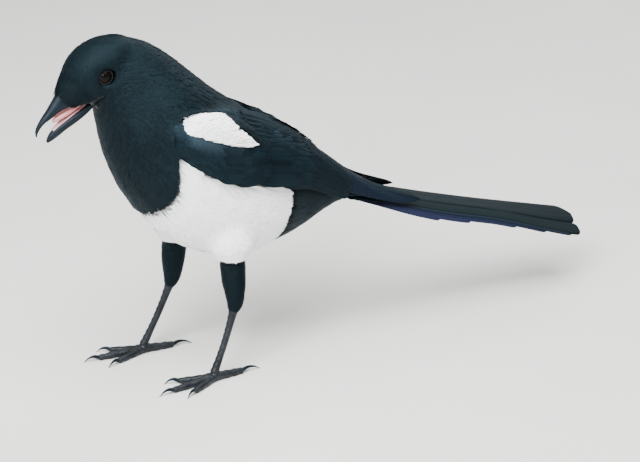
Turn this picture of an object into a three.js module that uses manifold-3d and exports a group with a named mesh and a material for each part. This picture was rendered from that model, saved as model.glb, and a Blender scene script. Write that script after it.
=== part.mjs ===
// A Eurasian magpie at life size, standing on both feet with its head lowered and its bill open.
// Millimetres, +Z up. The bird faces -X, its left side is towards -Y, and y = 0 is its midline.
// Lateral distances are measured outwards from the midline, and a side of -1 is the left.
// The surfaces of the body are the outline of the plumage, out to the tips of the feathers.
// The numbers are set out from a point on the floor between the feet. At the end the whole
// bird moves so that the origin is the bottom centre of its box.
import * as THREE from "three";
import { mergeVertices } from "three/addons/utils/BufferGeometryUtils.js";
import Module from "manifold-3d";

const wasm = await Module();
wasm.setup();

const LEFT = -1;
const RIGHT = 1;
const GAP = 0.3; // clearance between neighbouring pieces
const HALF_SPACE_SIZE = 900; // side of the boxes that cut pieces apart

// Neck and trunk: centre x and z, half width, depth to the back and depth to the belly.
const TRUNK = [
  [-48, 191.5, 8, 11, 6],
  [-38, 184, 15, 22.5, 15],
  [-27, 174.5, 21.5, 27.5, 24],
  [-15, 162, 29, 30, 34],
  [-3, 148, 34, 32.5, 41],
  [11, 132, 37, 36.5, 46],
  [27, 118.5, 38, 37, 49],
  [45, 109, 36, 32.5, 46.5],
  [62, 103, 30.5, 25.5, 38.5],
  [79, 99, 22.5, 17.5, 26.5],
  [95, 97, 17, 11, 16],
  [110, 94.5, 13.5, 6, 8.5],
  [121, 92, 9, 2.5, 4.5],
];
const TRUNK_STEPS = 22;
const TRUNK_SIDES = 22;

// Head: a centre between the eyes, and a bill axis that points down from there by this angle.
const HEAD_CENTRE = new THREE.Vector3(-45, 0, 186);
const HEAD_DROP = THREE.MathUtils.degToRad(42);
// Distance along the bill axis, half width, height above the axis and depth below it.
const HEAD = [
  [-25, 2, 0.5, 3],
  [-22.5, 7.5, 3.4, 8],
  [-18, 11.5, 7.4, 12],
  [-13, 13.6, 11.2, 14.5],
  [-6.5, 14.8, 14.2, 16.3],
  [1, 15, 15.4, 17],
  [8, 13.8, 14.4, 16],
  [14, 11.6, 11.8, 14.6],
  [20, 8.8, 9, 13],
  [24, 6.6, 7.4, 12],
  [28, 3.6, 5.4, 11],
];
const HEAD_STEPS = 15;
const HEAD_SIDES = 18;

// Mandibles and tongue: distance along the bill axis, half width, top and bottom heights.
const UPPER_MANDIBLE = [
  [9, 4.6, 3, -7.6],
  [17, 5.3, 6.4, -5.5],
  [23, 4.8, 7.5, -2.9],
  [28, 3.9, 6.5, -0.8],
  [33.5, 3.0, 5.3, 0.6],
  [38, 2.3, 4.6, 1.4],
  [42, 1.6, 3.8, 1.4],
  [45.5, 0.9, 2.4, 0.3],
  [47.6, 0.35, 0, -1.1],
];
const LOWER_MANDIBLE = [
  [9, 4.6, -8.7, -13.6],
  [17, 5.0, -8.2, -13.8],
  [25, 4.1, -7.0, -13.0],
  [33.5, 3.0, -5.6, -11.0],
  [39, 2.1, -5.1, -10.1],
  [43, 1.3, -5.5, -9.2],
  [45.8, 0.5, -6.8, -8.2],
];
const TONGUE = [
  [13.5, 1.4, -7.3, -7.9],
  [18, 2.2, -6.2, -7.5],
  [24, 2.5, -4.0, -6.5],
  [30, 2.2, -1.8, -4.8],
  [34, 1.2, -1.2, -3.2],
  [35.6, 0.4, -1.5, -2.4],
];
const BILL_STEPS = 11;
const BILL_SIDES = 10;
const UPPER_SHOULDER = 0.25; // where a mandible is widest, as a share of its depth from below
const LOWER_SHOULDER = 0.7;
const MOUTH_CORNER = [8.6, -7.9]; // along the bill axis and above it
const MOUTH_FRONT = 40; // where the cut between the mandibles leaves them, along the axis
const MOUTH_CUT = 30; // half width of that cut

const EYE = { along: -0.5, above: -1.8, lateral: 8, radius: 6, opening: 4.2, flare: 1.2 };
const EYE_DETAIL = 12;

// Folded wings: the lower and upper edges from the bend of the wing to its tip.
const WING_LOWER = [
  [-14, 30, 142],
  [12, 40.5, 123.5],
  [50, 39, 113],
  [92, 28, 100],
  [124, 21, 91],
  [156, 16, 83],
];
const WING_UPPER = [
  [-14, 27, 159],
  [14, 24, 162],
  [50, 11, 148.5],
  [88, 5, 125],
  [122, 9, 101],
  [157, 14, 86.5],
];
const WING_BULGE = 5.5; // how far the wing bows out between its edges
const WING_OUTER = 2.2; // thickness outside and inside that bowed middle
const WING_INNER = 4;
const WING_TIP_THICKNESS = 0.9;
const WING_ARM_END = [0.45, 0.95]; // shares of the length between which the arm's thickness fades
const WING_BEND = [-0.1, 0.12]; // shares of the length over which the bulge grows
const WING_STEPS = 13;
const WING_SIDES = 12;
const WING_PARTING = 0.62; // where the flight feathers leave the arm, as a share of the length
const WING_PARTING_NORMAL = new THREE.Vector3(0.93, 0, -0.36);
const WING_TIP_LIFT = { [LEFT]: -5, [RIGHT]: -4.5 }; // the right wing tip lies a little higher
const WING_LIFT_FROM = 55; // the lift grows between these two places along the bird
const WING_LIFT_TO = 115;

// White shoulder feathers: a pad over the top of each wing.
const SCAPULARS = { x: 14.5, lateral: 29.5, z: 148.5, length: 25, height: 11, depth: 9 };
const SCAPULARS_SLOPE = THREE.MathUtils.degToRad(22);
const SCAPULARS_LEAN = THREE.MathUtils.degToRad(38);

// Tail: twelve feathers that leave the rump together, each pair shorter than the one above it.
const TAIL_ROOT = new THREE.Vector3(92, 0, 98.5);
const TAIL_DROP = THREE.MathUtils.degToRad(16.5);
const FEATHER_LENGTHS = [194.6, 187, 167, 144, 108, 84];
const FEATHER_HALF_WIDTH = 11;
const FEATHER_THICKNESS = 0.9;
const FEATHER_STEPS = 7;
const FEATHER_CROWDING = 1.6; // above 1, the rings of a feather stand closer towards its tip
const FEATHER_ROOT = 0.35; // width and offset at the root, as a share of those further out
const FEATHER_OPENING = 0.35; // share of the tail over which they reach their full size
const FEATHER_TIP_END = 0.17; // width at the very tip, as a share of the full width
const FEATHER_OFFSET = 4.5; // lateral offset of the inner feathers
const FEATHER_SPREAD = 1.3; // extra lateral offset of each outer feather
const FEATHER_LAYER = 0.6; // how far each outer feather lies below the one above it
const FEATHER_ROOF = THREE.MathUtils.degToRad(13); // slope of the fan to each side
const FEATHER_ROOF_FULL = 0.5; // share of the tail over which that slope grows
const FEATHER_SPLAY = { [LEFT]: 6, [RIGHT]: -1 }; // how far the longest two swing out at their tips
const FEATHER_DIP = { [LEFT]: 2.5, [RIGHT]: -3.5 }; // how far they swing down there
const FEATHER_SPLAY_FROM = 0.6; // share of the tail where they start to part
const TAIL_SAG = 1.5; // the middle of the tail hangs below a straight line by this

// Legs by side: where the feathered part starts, the heel joint and the foot joint.
const LEGS = {
  [LEFT]: { hip: [26, 19, 103], heel: [25.5, 25.5, 44], foot: [10, 28, 5] },
  [RIGHT]: { hip: [13, 19, 103], heel: [10.5, 25.5, 44.5], foot: [-8, 28, 5] },
};
const THIGH_SHARES = [0, 0.4, 0.56, 0.78, 1]; // places on the feathered part, from hip to heel
const THIGH_RADII = [12, 14.5, 8, 6.8, 5.2, 2.8]; // at those places and at the end of the cuff
const THIGH_CUFF = 6; // how far its feathers reach below the heel joint
const SHANK_RADII = [2.7, 2.1, 2.0, 2.3];
const ANKLE_HEIGHT = 1.5; // where the shank meets the foot, above the foot joint

// Toes by name: direction from straight ahead, length, radius and claw length.
const TOES = {
  hallux: { turn: 180, length: 19, radius: 2.3, claw: 12 },
  inner: { turn: 26, length: 20, radius: 2.0, claw: 8 },
  middle: { turn: 2, length: 28, radius: 2.1, claw: 9 },
  outer: { turn: -24, length: 21, radius: 2.0, claw: 8 },
};
const FOOT_TURN = 4; // degrees that each foot points outwards
const TOE_JOINTS = [0, 0.35, 1]; // root, first joint and end of a toe, as shares of its length
const TOE_HEIGHTS = [2.9, 1.9, 1.4]; // middle of a toe at those places
const TOE_TAPER = [1.1, 1, 0.85];
const CLAW_HEIGHTS = [1.7, 2.3, 0.1]; // middle of a claw at its root, bend and tip
const CLAW_RADII = [1.35, 0.95, 0.35];
const CLAW_BEND = 0.55; // place of the bend along the claw
const CLAW_CLEARANCE = 1.2;
const FOOT_JOINT = { radius: 3.2, height: 3.1 };

const COLOURS = {
  black_plumage: [0x0d1518, 0.45],
  blue_gloss: [0x0c2026, 0.35],
  green_gloss: [0x10262a, 0.35],
  white_plumage: [0xe8ebec, 0.75],
  horn: [0x1d1f24, 0.4],
  skin: [0x22242a, 0.5],
  mouth: [0xa9707a, 0.5],
  eye: [0x120b08, 0.1],
};

function material(name) {
  const [color, roughness] = COLOURS[name];
  return new THREE.MeshStandardMaterial({ color, roughness, metalness: 0 });
}

const { lerp, smoothstep, clamp, degToRad } = THREE.MathUtils;
const vector = (x, y, z) => new THREE.Vector3(x, y, z);
const sided = ([x, lateral, z], side) => vector(x, side * lateral, z);
const steps = (count) => Array.from({ length: count + 1 }, (_, i) => i / count);
const turns = (count) => Array.from({ length: count }, (_, i) => (2 * Math.PI * i) / count);

// Rows of numbers, such as sizes at stations, read at a share t of the way along them.
function rowsAt(rows, t) {
  const place = t * (rows.length - 1);
  const i = Math.min(Math.floor(place), rows.length - 2);
  const f = place - i;
  const row = (k) => rows[clamp(k, 0, rows.length - 1)];
  return rows[i].map((start, c) => {
    const end = row(i + 1)[c];
    const slopeStart = (end - row(i - 1)[c]) / 2;
    const slopeEnd = (row(i + 2)[c] - start) / 2;
    return (
      (2 * f ** 3 - 3 * f ** 2 + 1) * start +
      (f ** 3 - 2 * f ** 2 + f) * slopeStart +
      (3 * f ** 2 - 2 * f ** 3) * end +
      (f ** 3 - f ** 2) * slopeEnd
    );
  });
}

// A closed mesh as a solid, with its shared corners merged.
function solidOf(geometry) {
  const bare = geometry.clone();
  bare.deleteAttribute("normal");
  bare.deleteAttribute("uv");
  const merged = mergeVertices(bare, 1e-4);
  return new wasm.Manifold(
    new wasm.Mesh({
      numProp: 3,
      vertProperties: merged.attributes.position.array,
      triVerts: new Uint32Array(merged.index.array),
    }),
  );
}

function geometryOf(solid) {
  const mesh = solid.getMesh();
  const geometry = new THREE.BufferGeometry();
  geometry.setAttribute("position", new THREE.BufferAttribute(mesh.vertProperties, 3));
  geometry.setIndex(new THREE.BufferAttribute(mesh.triVerts, 1));
  return geometry;
}

// Faces between points as a solid, turned over if they face inwards.
function solidOfFaces(points, faces) {
  const volume = faces.reduce((sum, [a, b, c]) => {
    return sum + points[a].dot(points[b].clone().cross(points[c]));
  }, 0);
  const outward = volume > 0 ? faces : faces.map(([a, b, c]) => [a, c, b]);
  const geometry = new THREE.BufferGeometry().setFromPoints(points);
  return solidOf(geometry.setIndex(outward.flat()));
}

// A closed solid through rings of points, with a fan at each end.
function loft(rings) {
  const sides = rings[0].length;
  const points = rings.flat();
  const last = points.length - sides;
  const middle = (ring) => ring.reduce((sum, p) => sum.add(p), vector(0, 0, 0)).divideScalar(sides);
  const first = points.push(middle(rings[0]), middle(rings.at(-1))) - 2;
  const faces = [];
  for (let j = 0; j < sides; j++) {
    const k = (j + 1) % sides;
    faces.push([first, k, j], [first + 1, last + j, last + k]);
    for (let i = 0; i < last; i += sides) {
      faces.push([i + j, i + k, i + sides + k], [i + j, i + sides + k, i + sides + j]);
    }
  }
  return solidOfFaces(points, faces);
}

// A prism between two copies of one outline, which may be hollow on one side.
function prism(near, far) {
  const flat = near.map((p) => new THREE.Vector2(p.x, p.z));
  const count = near.length;
  const faces = [];
  for (const [a, b, c] of THREE.ShapeUtils.triangulateShape(flat, [])) {
    faces.push([a, b, c], [a + count, c + count, b + count]);
  }
  for (let j = 0; j < count; j++) {
    const k = (j + 1) % count;
    faces.push([k, j, j + count], [k, j + count, k + count]);
  }
  return solidOfFaces([...near, ...far], faces);
}

function ball(centre, radius, detail) {
  const geometry = new THREE.SphereGeometry(radius, detail, detail / 2);
  return solidOf(geometry.translate(...centre.toArray()));
}

// A tapered limb through points, with radii at even steps along it.
function limb(points, radii, count, sides) {
  const path = new THREE.CatmullRomCurve3(points, false, "centripetal");
  const rows = radii.map((radius) => [radius]);
  const rings = steps(count).map((t) => {
    const along = path.getTangent(t);
    const across = vector(0, 1, 0).addScaledVector(along, -along.y).normalize();
    const up = along.clone().cross(across);
    const centre = path.getPoint(t);
    const [radius] = rowsAt(rows, t);
    return turns(sides).map((a) =>
      centre
        .clone()
        .addScaledVector(across, radius * Math.cos(a))
        .addScaledVector(up, radius * Math.sin(a)),
    );
  });
  return loft(rings);
}

// The half of space on the side of a plane that its normal points to.
function halfSpace(point, normal, shift = 0) {
  const box = new THREE.BoxGeometry(HALF_SPACE_SIZE, HALF_SPACE_SIZE, HALF_SPACE_SIZE);
  box.translate(0, 0, HALF_SPACE_SIZE / 2 + shift);
  const turn = new THREE.Quaternion().setFromUnitVectors(vector(0, 0, 1), normal.clone().normalize());
  return solidOf(box.applyQuaternion(turn).translate(point.x, point.y, point.z));
}

const union = (solids) => solids.reduce((sum, solid) => sum.add(solid));

const largest = (solid) =>
  solid.decompose().reduce((best, piece) => (piece.volume() > best.volume() ? piece : best));

// Neck and trunk: ellipses across a spine that curves in the midline.
function trunkSolid(grow = 0) {
  const nearby = 1e-3;
  const rings = steps(TRUNK_STEPS).map((t) => {
    const [x, z, width, back, belly] = rowsAt(TRUNK, t);
    const ahead = rowsAt(TRUNK, Math.min(1, t + nearby));
    const behind = rowsAt(TRUNK, Math.max(0, t - nearby));
    const along = vector(ahead[0] - behind[0], 0, ahead[1] - behind[1]).normalize();
    const up = vector(-along.z, 0, along.x);
    return turns(TRUNK_SIDES).map((a) => {
      const depth = Math.sin(a) > 0 ? back : belly;
      const rim = vector(x, (width + grow) * Math.cos(a), z);
      return rim.addScaledVector(up, (depth + grow) * Math.sin(a));
    });
  });
  return loft(rings);
}

// A point of the head's own frame: along the bill axis, out to the side, and above the axis.
function headPoint(along, lateral, above) {
  const axis = vector(-Math.cos(HEAD_DROP), 0, -Math.sin(HEAD_DROP));
  const up = vector(-Math.sin(HEAD_DROP), 0, Math.cos(HEAD_DROP));
  return vector(0, lateral, 0)
    .add(HEAD_CENTRE)
    .addScaledVector(axis, along)
    .addScaledVector(up, above);
}

function headSolid(grow = 0) {
  const rings = steps(HEAD_STEPS).map((t) => {
    const [along, width, above, below] = rowsAt(HEAD, t);
    return turns(HEAD_SIDES).map((a) => {
      const height = Math.sin(a) > 0 ? above : below;
      return headPoint(along, (width + grow) * Math.cos(a), (height + grow) * Math.sin(a));
    });
  });
  return loft(rings);
}

// A mandible or the tongue: an oval section that is widest at its shoulder.
function billSolid(rows, shoulder, grow = 0) {
  const rings = steps(BILL_STEPS).map((t) => {
    const [along, width, top, bottom] = rowsAt(rows, t);
    const middle = lerp(bottom, top, shoulder);
    return turns(BILL_SIDES).map((a) => {
      const reach = (Math.sin(a) > 0 ? top - middle : middle - bottom) + grow;
      return headPoint(along, (width + grow) * Math.cos(a), middle + reach * Math.sin(a));
    });
  });
  return loft(rings);
}

// The open space between the mandibles, from the corner of the mouth forwards.
function mouthSolid() {
  const upper = UPPER_MANDIBLE.slice(1, -2).map(([along, , , bottom]) => [along, bottom]);
  const lower = LOWER_MANDIBLE.slice(1, -2).map(([along, , top]) => [along, top]);
  const [, upperEnd] = upper.at(-1);
  const [, lowerEnd] = lower.at(-1);
  const front = [[MOUTH_FRONT, upperEnd], [MOUTH_FRONT, lowerEnd]];
  const outline = [MOUTH_CORNER, ...upper, ...front, ...lower.reverse()];
  const edge = (lateral) => outline.map(([along, above]) => headPoint(along, lateral, above));
  return prism(edge(-MOUTH_CUT), edge(MOUTH_CUT));
}

function eyeSolid(side, grow = 0) {
  return ball(headPoint(EYE.along, side * EYE.lateral, EYE.above), EYE.radius + grow, EYE_DETAIL);
}

// The round opening between the lids, which widens outwards.
function eyeOpening(side) {
  const tube = new THREE.CylinderGeometry(EYE.opening + EYE.flare, EYE.opening, EYE.radius, EYE_DETAIL);
  tube.translate(0, EYE.lateral + EYE.radius, 0);
  if (side === LEFT) tube.rotateZ(Math.PI);
  const centre = headPoint(EYE.along, 0, EYE.above);
  return solidOf(tube.translate(centre.x, 0, centre.z));
}

// The lower and upper edge of a folded wing at a share t of its length.
function wingEdges(side, t) {
  return [WING_LOWER, WING_UPPER].map((rows) => {
    const [x, lateral, z] = rowsAt(rows, t);
    const lift = WING_TIP_LIFT[side] * smoothstep(x, WING_LIFT_FROM, WING_LIFT_TO);
    return sided([x, lateral, z + lift], side);
  });
}

// A folded wing: a crescent between its two edges, which thins out towards the tip.
function wingSolid(side, grow = 0) {
  const nearby = 0.01;
  const rings = steps(WING_STEPS).map((t) => {
    const [low, high] = wingEdges(side, t);
    const [lowNext, highNext] = wingEdges(side, Math.min(1, t + nearby));
    const [lowLast, highLast] = wingEdges(side, Math.max(0, t - nearby));
    const along = lowNext.add(highNext).sub(lowLast).sub(highLast).normalize();
    const across = high.clone().sub(low);
    const out = across.clone().cross(along).normalize();
    if (out.y * side < 0) out.negate();
    const arm = 1 - smoothstep(t, ...WING_ARM_END);
    const bulge = WING_BULGE * arm * smoothstep(t, ...WING_BEND);
    const outer = lerp(WING_TIP_THICKNESS, WING_OUTER, arm) + grow;
    const inner = lerp(WING_TIP_THICKNESS, WING_INNER, arm) + grow;
    const middle = low.clone().add(high).multiplyScalar(0.5);
    const half = across.length() / 2 + grow;
    across.normalize();
    return turns(WING_SIDES).map((a) => {
      const place = Math.cos(a);
      const thickness = Math.sin(a) > 0 ? outer : inner;
      return middle
        .clone()
        .addScaledVector(across, half * place)
        .addScaledVector(out, bulge * (1 - place ** 2) + thickness * Math.sin(a));
    });
  });
  return loft(rings);
}

function scapularsSolid(side) {
  const { x, lateral, z, length, height, depth } = SCAPULARS;
  const pad = new THREE.SphereGeometry(1, 20, 12);
  pad.scale(length, depth, height);
  pad.rotateX(SCAPULARS_LEAN);
  pad.rotateY(SCAPULARS_SLOPE);
  const solid = solidOf(pad.translate(x, -lateral, z));
  return side === LEFT ? solid : solid.mirror([0, 1, 0]);
}

// One tail feather: a thin vane with a round tip, laid along the tail and tilted like a roof.
function tailFeather(side, order) {
  const length = FEATHER_LENGTHS[order];
  const along = vector(Math.cos(TAIL_DROP), 0, -Math.sin(TAIL_DROP));
  const up = vector(Math.sin(TAIL_DROP), 0, Math.cos(TAIL_DROP));
  const rings = steps(FEATHER_STEPS).map((t) => {
    const reach = length * (1 - (1 - t) ** FEATHER_CROWDING);
    const share = reach / FEATHER_LENGTHS[0];
    const open = lerp(FEATHER_ROOT, 1, smoothstep(share, 0, FEATHER_OPENING));
    const toTip = Math.min(1, (length - reach) / FEATHER_HALF_WIDTH);
    const roundTip = Math.max(FEATHER_TIP_END, Math.sqrt(1 - (1 - toTip) ** 2));
    const half = FEATHER_HALF_WIDTH * open * roundTip;
    const parting = order === 0 ? smoothstep(share, FEATHER_SPLAY_FROM, 1) : 0;
    const lateral = (FEATHER_OFFSET + FEATHER_SPREAD * order) * open + FEATHER_SPLAY[side] * parting;
    const sag = TAIL_SAG * Math.sin(Math.PI * share) + FEATHER_DIP[side] * parting;
    const spread = smoothstep(share, 0, FEATHER_ROOF_FULL);
    return [[-1, 1], [1, 1], [1, -1], [-1, -1]].map(([edge, face]) => {
      const out = lateral + half * edge;
      const drop = out * Math.tan(FEATHER_ROOF) * spread + order * FEATHER_LAYER + sag;
      return sided([0, out, 0], side)
        .add(TAIL_ROOT)
        .addScaledVector(along, reach)
        .addScaledVector(up, (face * FEATHER_THICKNESS) / 2 - drop);
    });
  });
  return loft(rings);
}

// The feathered part of a leg, which ends in a cuff round the top of the shank.
function thighSolid(hip, heel, foot, grow = 0) {
  const down = foot.clone().sub(heel).normalize();
  const cuff = heel.clone().addScaledVector(down, THIGH_CUFF);
  const places = THIGH_SHARES.map((share) => hip.clone().lerp(heel, share));
  const radii = THIGH_RADII.map((radius) => radius + grow);
  return limb([...places, cuff], radii, 2 * places.length, 14);
}

// A point over a toe's line: how far it is from the foot joint, and how high.
function toePoint(side, foot, turn, reach, height) {
  const angle = degToRad(turn + FOOT_TURN);
  return vector(-Math.cos(angle) * reach, side * Math.sin(angle) * reach, height).add(
    vector(foot.x, foot.y, 0),
  );
}

const group = new THREE.Group();

function add(name, solid, colour) {
  const mesh = new THREE.Mesh(geometryOf(largest(solid)), material(colour));
  mesh.name = name;
  group.add(mesh);
}

// The head, neck and trunk are one form, parted by two slanting cuts.
const NAPE_CUT = { point: vector(-33, 0, 178), normal: vector(-0.84, 0, 0.54) };
const NECK_CUT = { point: vector(-17, 0, 153), normal: vector(-0.68, 0, 0.73) };
const ahead = (cut, shift) => halfSpace(cut.point, cut.normal, shift);

const flesh = trunkSolid().add(headSolid());
const fleshRoom = trunkSolid(GAP).add(headSolid(GAP));
const wingRoom = union([LEFT, RIGHT].map((side) => wingSolid(side, GAP)));
const billRoom = billSolid(UPPER_MANDIBLE, UPPER_SHOULDER, GAP)
  .add(billSolid(LOWER_MANDIBLE, LOWER_SHOULDER, GAP))
  .add(mouthSolid());
const eyeRoom = union([LEFT, RIGHT].map((side) => eyeSolid(side, GAP).add(eyeOpening(side))));

add("head", flesh.intersect(ahead(NAPE_CUT, 0)).subtract(billRoom).subtract(eyeRoom), "black_plumage");
const neck = flesh.intersect(ahead(NECK_CUT, 0)).subtract(ahead(NAPE_CUT, -GAP));
add("neck", neck.subtract(wingRoom), "black_plumage");
add("trunk", flesh.subtract(ahead(NECK_CUT, -GAP)).subtract(wingRoom), "white_plumage");
add("bill_upper", billSolid(UPPER_MANDIBLE, UPPER_SHOULDER), "horn");
add("bill_lower", billSolid(LOWER_MANDIBLE, LOWER_SHOULDER), "horn");
add("tongue", billSolid(TONGUE, 0.5), "mouth");

// The tail's feathers overlap into one fan, and the rump closes over their roots.
const feathers = [LEFT, RIGHT].flatMap((side) =>
  FEATHER_LENGTHS.map((_, order) => tailFeather(side, order)),
);
add("tail", union(feathers).subtract(fleshRoom).subtract(wingRoom), "green_gloss");

function addWing(side, name) {
  const whole = wingSolid(side);
  const [low, high] = wingEdges(side, WING_PARTING);
  const parting = { point: low.add(high).multiplyScalar(0.5), normal: WING_PARTING_NORMAL };
  add(`wing_${name}`, whole.subtract(ahead(parting, -GAP)), "blue_gloss");
  add(`primaries_${name}`, whole.intersect(ahead(parting, 0)), "blue_gloss");
  const pad = scapularsSolid(side).subtract(fleshRoom).subtract(wingSolid(side, GAP));
  add(`scapulars_${name}`, pad, "white_plumage");
}

// Legs: a feathered thigh, a bare shank and a foot of four toes with claws, trimmed flat below.
const aboveGround = halfSpace(vector(0, 0, 0), vector(0, 0, 1));

function addLeg(side, name) {
  const [hip, heel, foot] = [LEGS[side].hip, LEGS[side].heel, LEGS[side].foot].map((p) => sided(p, side));
  const upwards = heel.clone().sub(foot).normalize();
  const ankle = foot.clone().addScaledVector(upwards, ANKLE_HEIGHT);
  const shank = limb([heel, heel.clone().lerp(foot, 0.5), foot], SHANK_RADII, 6, 10);
  add(`thigh_${name}`, thighSolid(hip, heel, foot).subtract(fleshRoom), "black_plumage");
  const bare = shank.subtract(thighSolid(hip, heel, foot, GAP));
  add(`tarsus_${name}`, bare.intersect(halfSpace(ankle, upwards, GAP)), "skin");

  const pieces = [
    ball(vector(foot.x, foot.y, FOOT_JOINT.height), FOOT_JOINT.radius, 10),
    shank.subtract(halfSpace(ankle, upwards)),
  ];
  for (const [toe, { turn, length, radius, claw }] of Object.entries(TOES)) {
    const at = (reach, height) => toePoint(side, foot, turn, reach, height);
    const line = TOE_JOINTS.map((share, i) => at(length * share, TOE_HEIGHTS[i]));
    pieces.push(limb(line, TOE_TAPER.map((taper) => taper * radius), 3, 8));
    const places = [CLAW_CLEARANCE, claw * CLAW_BEND, claw];
    const hook = places.map((reach, i) => at(length + reach, CLAW_HEIGHTS[i]));
    add(`claw_${toe}_${name}`, limb(hook, CLAW_RADII, 4, 6).intersect(aboveGround), "horn");
  }
  add(`foot_${name}`, union(pieces).intersect(aboveGround), "skin");
}

for (const [side, name] of [[LEFT, "left"], [RIGHT, "right"]]) {
  add(`eye_${name}`, eyeSolid(side), "eye");
  addWing(side, name);
  addLeg(side, name);
}

const box = new THREE.Box3().setFromObject(group);
group.position.set(-(box.min.x + box.max.x) / 2, -(box.min.y + box.max.y) / 2, -box.min.z);

export default group;
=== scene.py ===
"""A Eurasian magpie as a still, life-size model: skin, feathers, bill, eyes, legs and feet.

Metres, in the frame of the solids: the bird faces -X, its left side is towards -Y, y = 0 is its
midline and the floor is z = 0. Tables are in millimetres and become metres where they are used.
"""
from math import cos, pi, radians, sin

import bmesh
import bpy
import numpy as np
from bpy.props import FloatProperty, FloatVectorProperty, PointerProperty
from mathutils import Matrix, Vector


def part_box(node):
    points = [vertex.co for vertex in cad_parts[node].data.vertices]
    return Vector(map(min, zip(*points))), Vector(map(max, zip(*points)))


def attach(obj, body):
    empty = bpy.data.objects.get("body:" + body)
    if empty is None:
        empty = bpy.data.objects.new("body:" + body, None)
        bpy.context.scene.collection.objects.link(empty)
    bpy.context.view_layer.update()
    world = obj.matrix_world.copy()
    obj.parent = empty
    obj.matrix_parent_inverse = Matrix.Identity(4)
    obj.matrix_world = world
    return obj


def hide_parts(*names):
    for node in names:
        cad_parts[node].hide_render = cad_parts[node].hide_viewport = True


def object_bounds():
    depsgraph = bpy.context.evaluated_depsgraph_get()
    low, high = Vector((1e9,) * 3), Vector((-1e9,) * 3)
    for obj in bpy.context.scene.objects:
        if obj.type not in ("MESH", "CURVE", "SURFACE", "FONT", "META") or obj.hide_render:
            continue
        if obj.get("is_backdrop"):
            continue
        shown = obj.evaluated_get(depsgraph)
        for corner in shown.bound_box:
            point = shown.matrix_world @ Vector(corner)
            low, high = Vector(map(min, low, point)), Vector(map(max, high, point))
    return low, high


bl_info = {
    "name": "Eurasian magpie",
    "version": (1, 0, 0),
    "blender": (4, 5, 0),
    "location": "3D View > Sidebar > Magpie",
    "description": "Builds the skin, plumage, bill, eyes and feet of a life-size magpie",
    "category": "Add Mesh",
}

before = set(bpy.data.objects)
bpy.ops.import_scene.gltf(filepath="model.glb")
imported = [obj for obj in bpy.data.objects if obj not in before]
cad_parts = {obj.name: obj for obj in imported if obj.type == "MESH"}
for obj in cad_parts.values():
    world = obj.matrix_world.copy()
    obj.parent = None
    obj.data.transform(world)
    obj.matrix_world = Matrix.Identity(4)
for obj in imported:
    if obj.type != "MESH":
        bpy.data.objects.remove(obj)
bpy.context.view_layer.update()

MM = 0.001
LEFT, RIGHT = -1, 1
SEEDS = {"body": 7, "shoulders": 8, "wings": 9, "tail": 10, "bristles": 11}
SIDES = {"left": LEFT, "right": RIGHT}


def size(name):
    """A size from the settings, in millimetres."""
    return getattr(bpy.context.scene.magpie_sizes, name) / MM


def paint(name):
    """A colour from the settings."""
    return tuple(getattr(bpy.context.scene.magpie_colours, name))


def darker(colour, share):
    """A colour with each of its parts cut to a share."""
    return tuple(share * part for part in colour)


# The head's own frame: the bill axis points down from the level by HEAD_DROP.
HEAD_DROP = radians(42)
HEAD_AXIS = np.array([-cos(HEAD_DROP), 0, -sin(HEAD_DROP)])
HEAD_UP = np.array([-sin(HEAD_DROP), 0, cos(HEAD_DROP)])
EYE_PLACE = (-0.5, -1.8)  # along the bill axis and above it, from the middle of the head
EYE_RADIUS = 6.0
EYE_LATERAL = 8.0


def eye_node_middle():
    """The middle of the left eye's solid, seen from the side."""
    low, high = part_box("eye_left")
    return np.array([(low.x + high.x) / 2, 0, (low.z + high.z) / 2]) / MM


HEAD_MIDDLE = eye_node_middle() - EYE_PLACE[0] * HEAD_AXIS - EYE_PLACE[1] * HEAD_UP


# Plain numbers and arrays


def smoothstep(x, low, high):
    """0 below low, 1 above high and an S-shaped rise between them."""
    t = np.clip((x - low) / (high - low), 0, 1)
    return t * t * (3 - 2 * t)


def mix(a, b, share):
    """From a to b, by a share."""
    return a + (b - a) * share


def unit(v):
    """Vectors with their lengths made one."""
    return v / np.maximum(np.linalg.norm(v, axis=-1, keepdims=True), 1e-12)


def rows_at(rows, t):
    """The rows of a table at shares t of its length, on a smooth curve through all of them."""
    rows = np.asarray(rows, float)
    last = len(rows) - 1
    place = np.clip(t, 0, 1) * last
    i = np.minimum(place.astype(int), last - 1)
    f = (place - i)[..., None]
    before, start, end, after = (rows[np.clip(i + k, 0, last)] for k in (-1, 0, 1, 2))
    slope_start, slope_end = (end - before) / 2, (after - start) / 2
    return (
        (2 * f**3 - 3 * f**2 + 1) * start
        + (f**3 - 2 * f**2 + f) * slope_start
        + (3 * f**2 - 2 * f**3) * end
        + (f**3 - f**2) * slope_end
    )


def to_head(p):
    """Millimetre points as distance along the bill axis, distance to the side and height."""
    d = p - HEAD_MIDDLE
    return d @ HEAD_AXIS, p[..., 1], d @ HEAD_UP


def from_head(along, lateral, above):
    """The way back from to_head."""
    along, lateral, above = np.broadcast_arrays(along, lateral, above)
    p = HEAD_MIDDLE + along[..., None] * HEAD_AXIS + above[..., None] * HEAD_UP
    p[..., 1] = lateral
    return p


# Meshes


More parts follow.
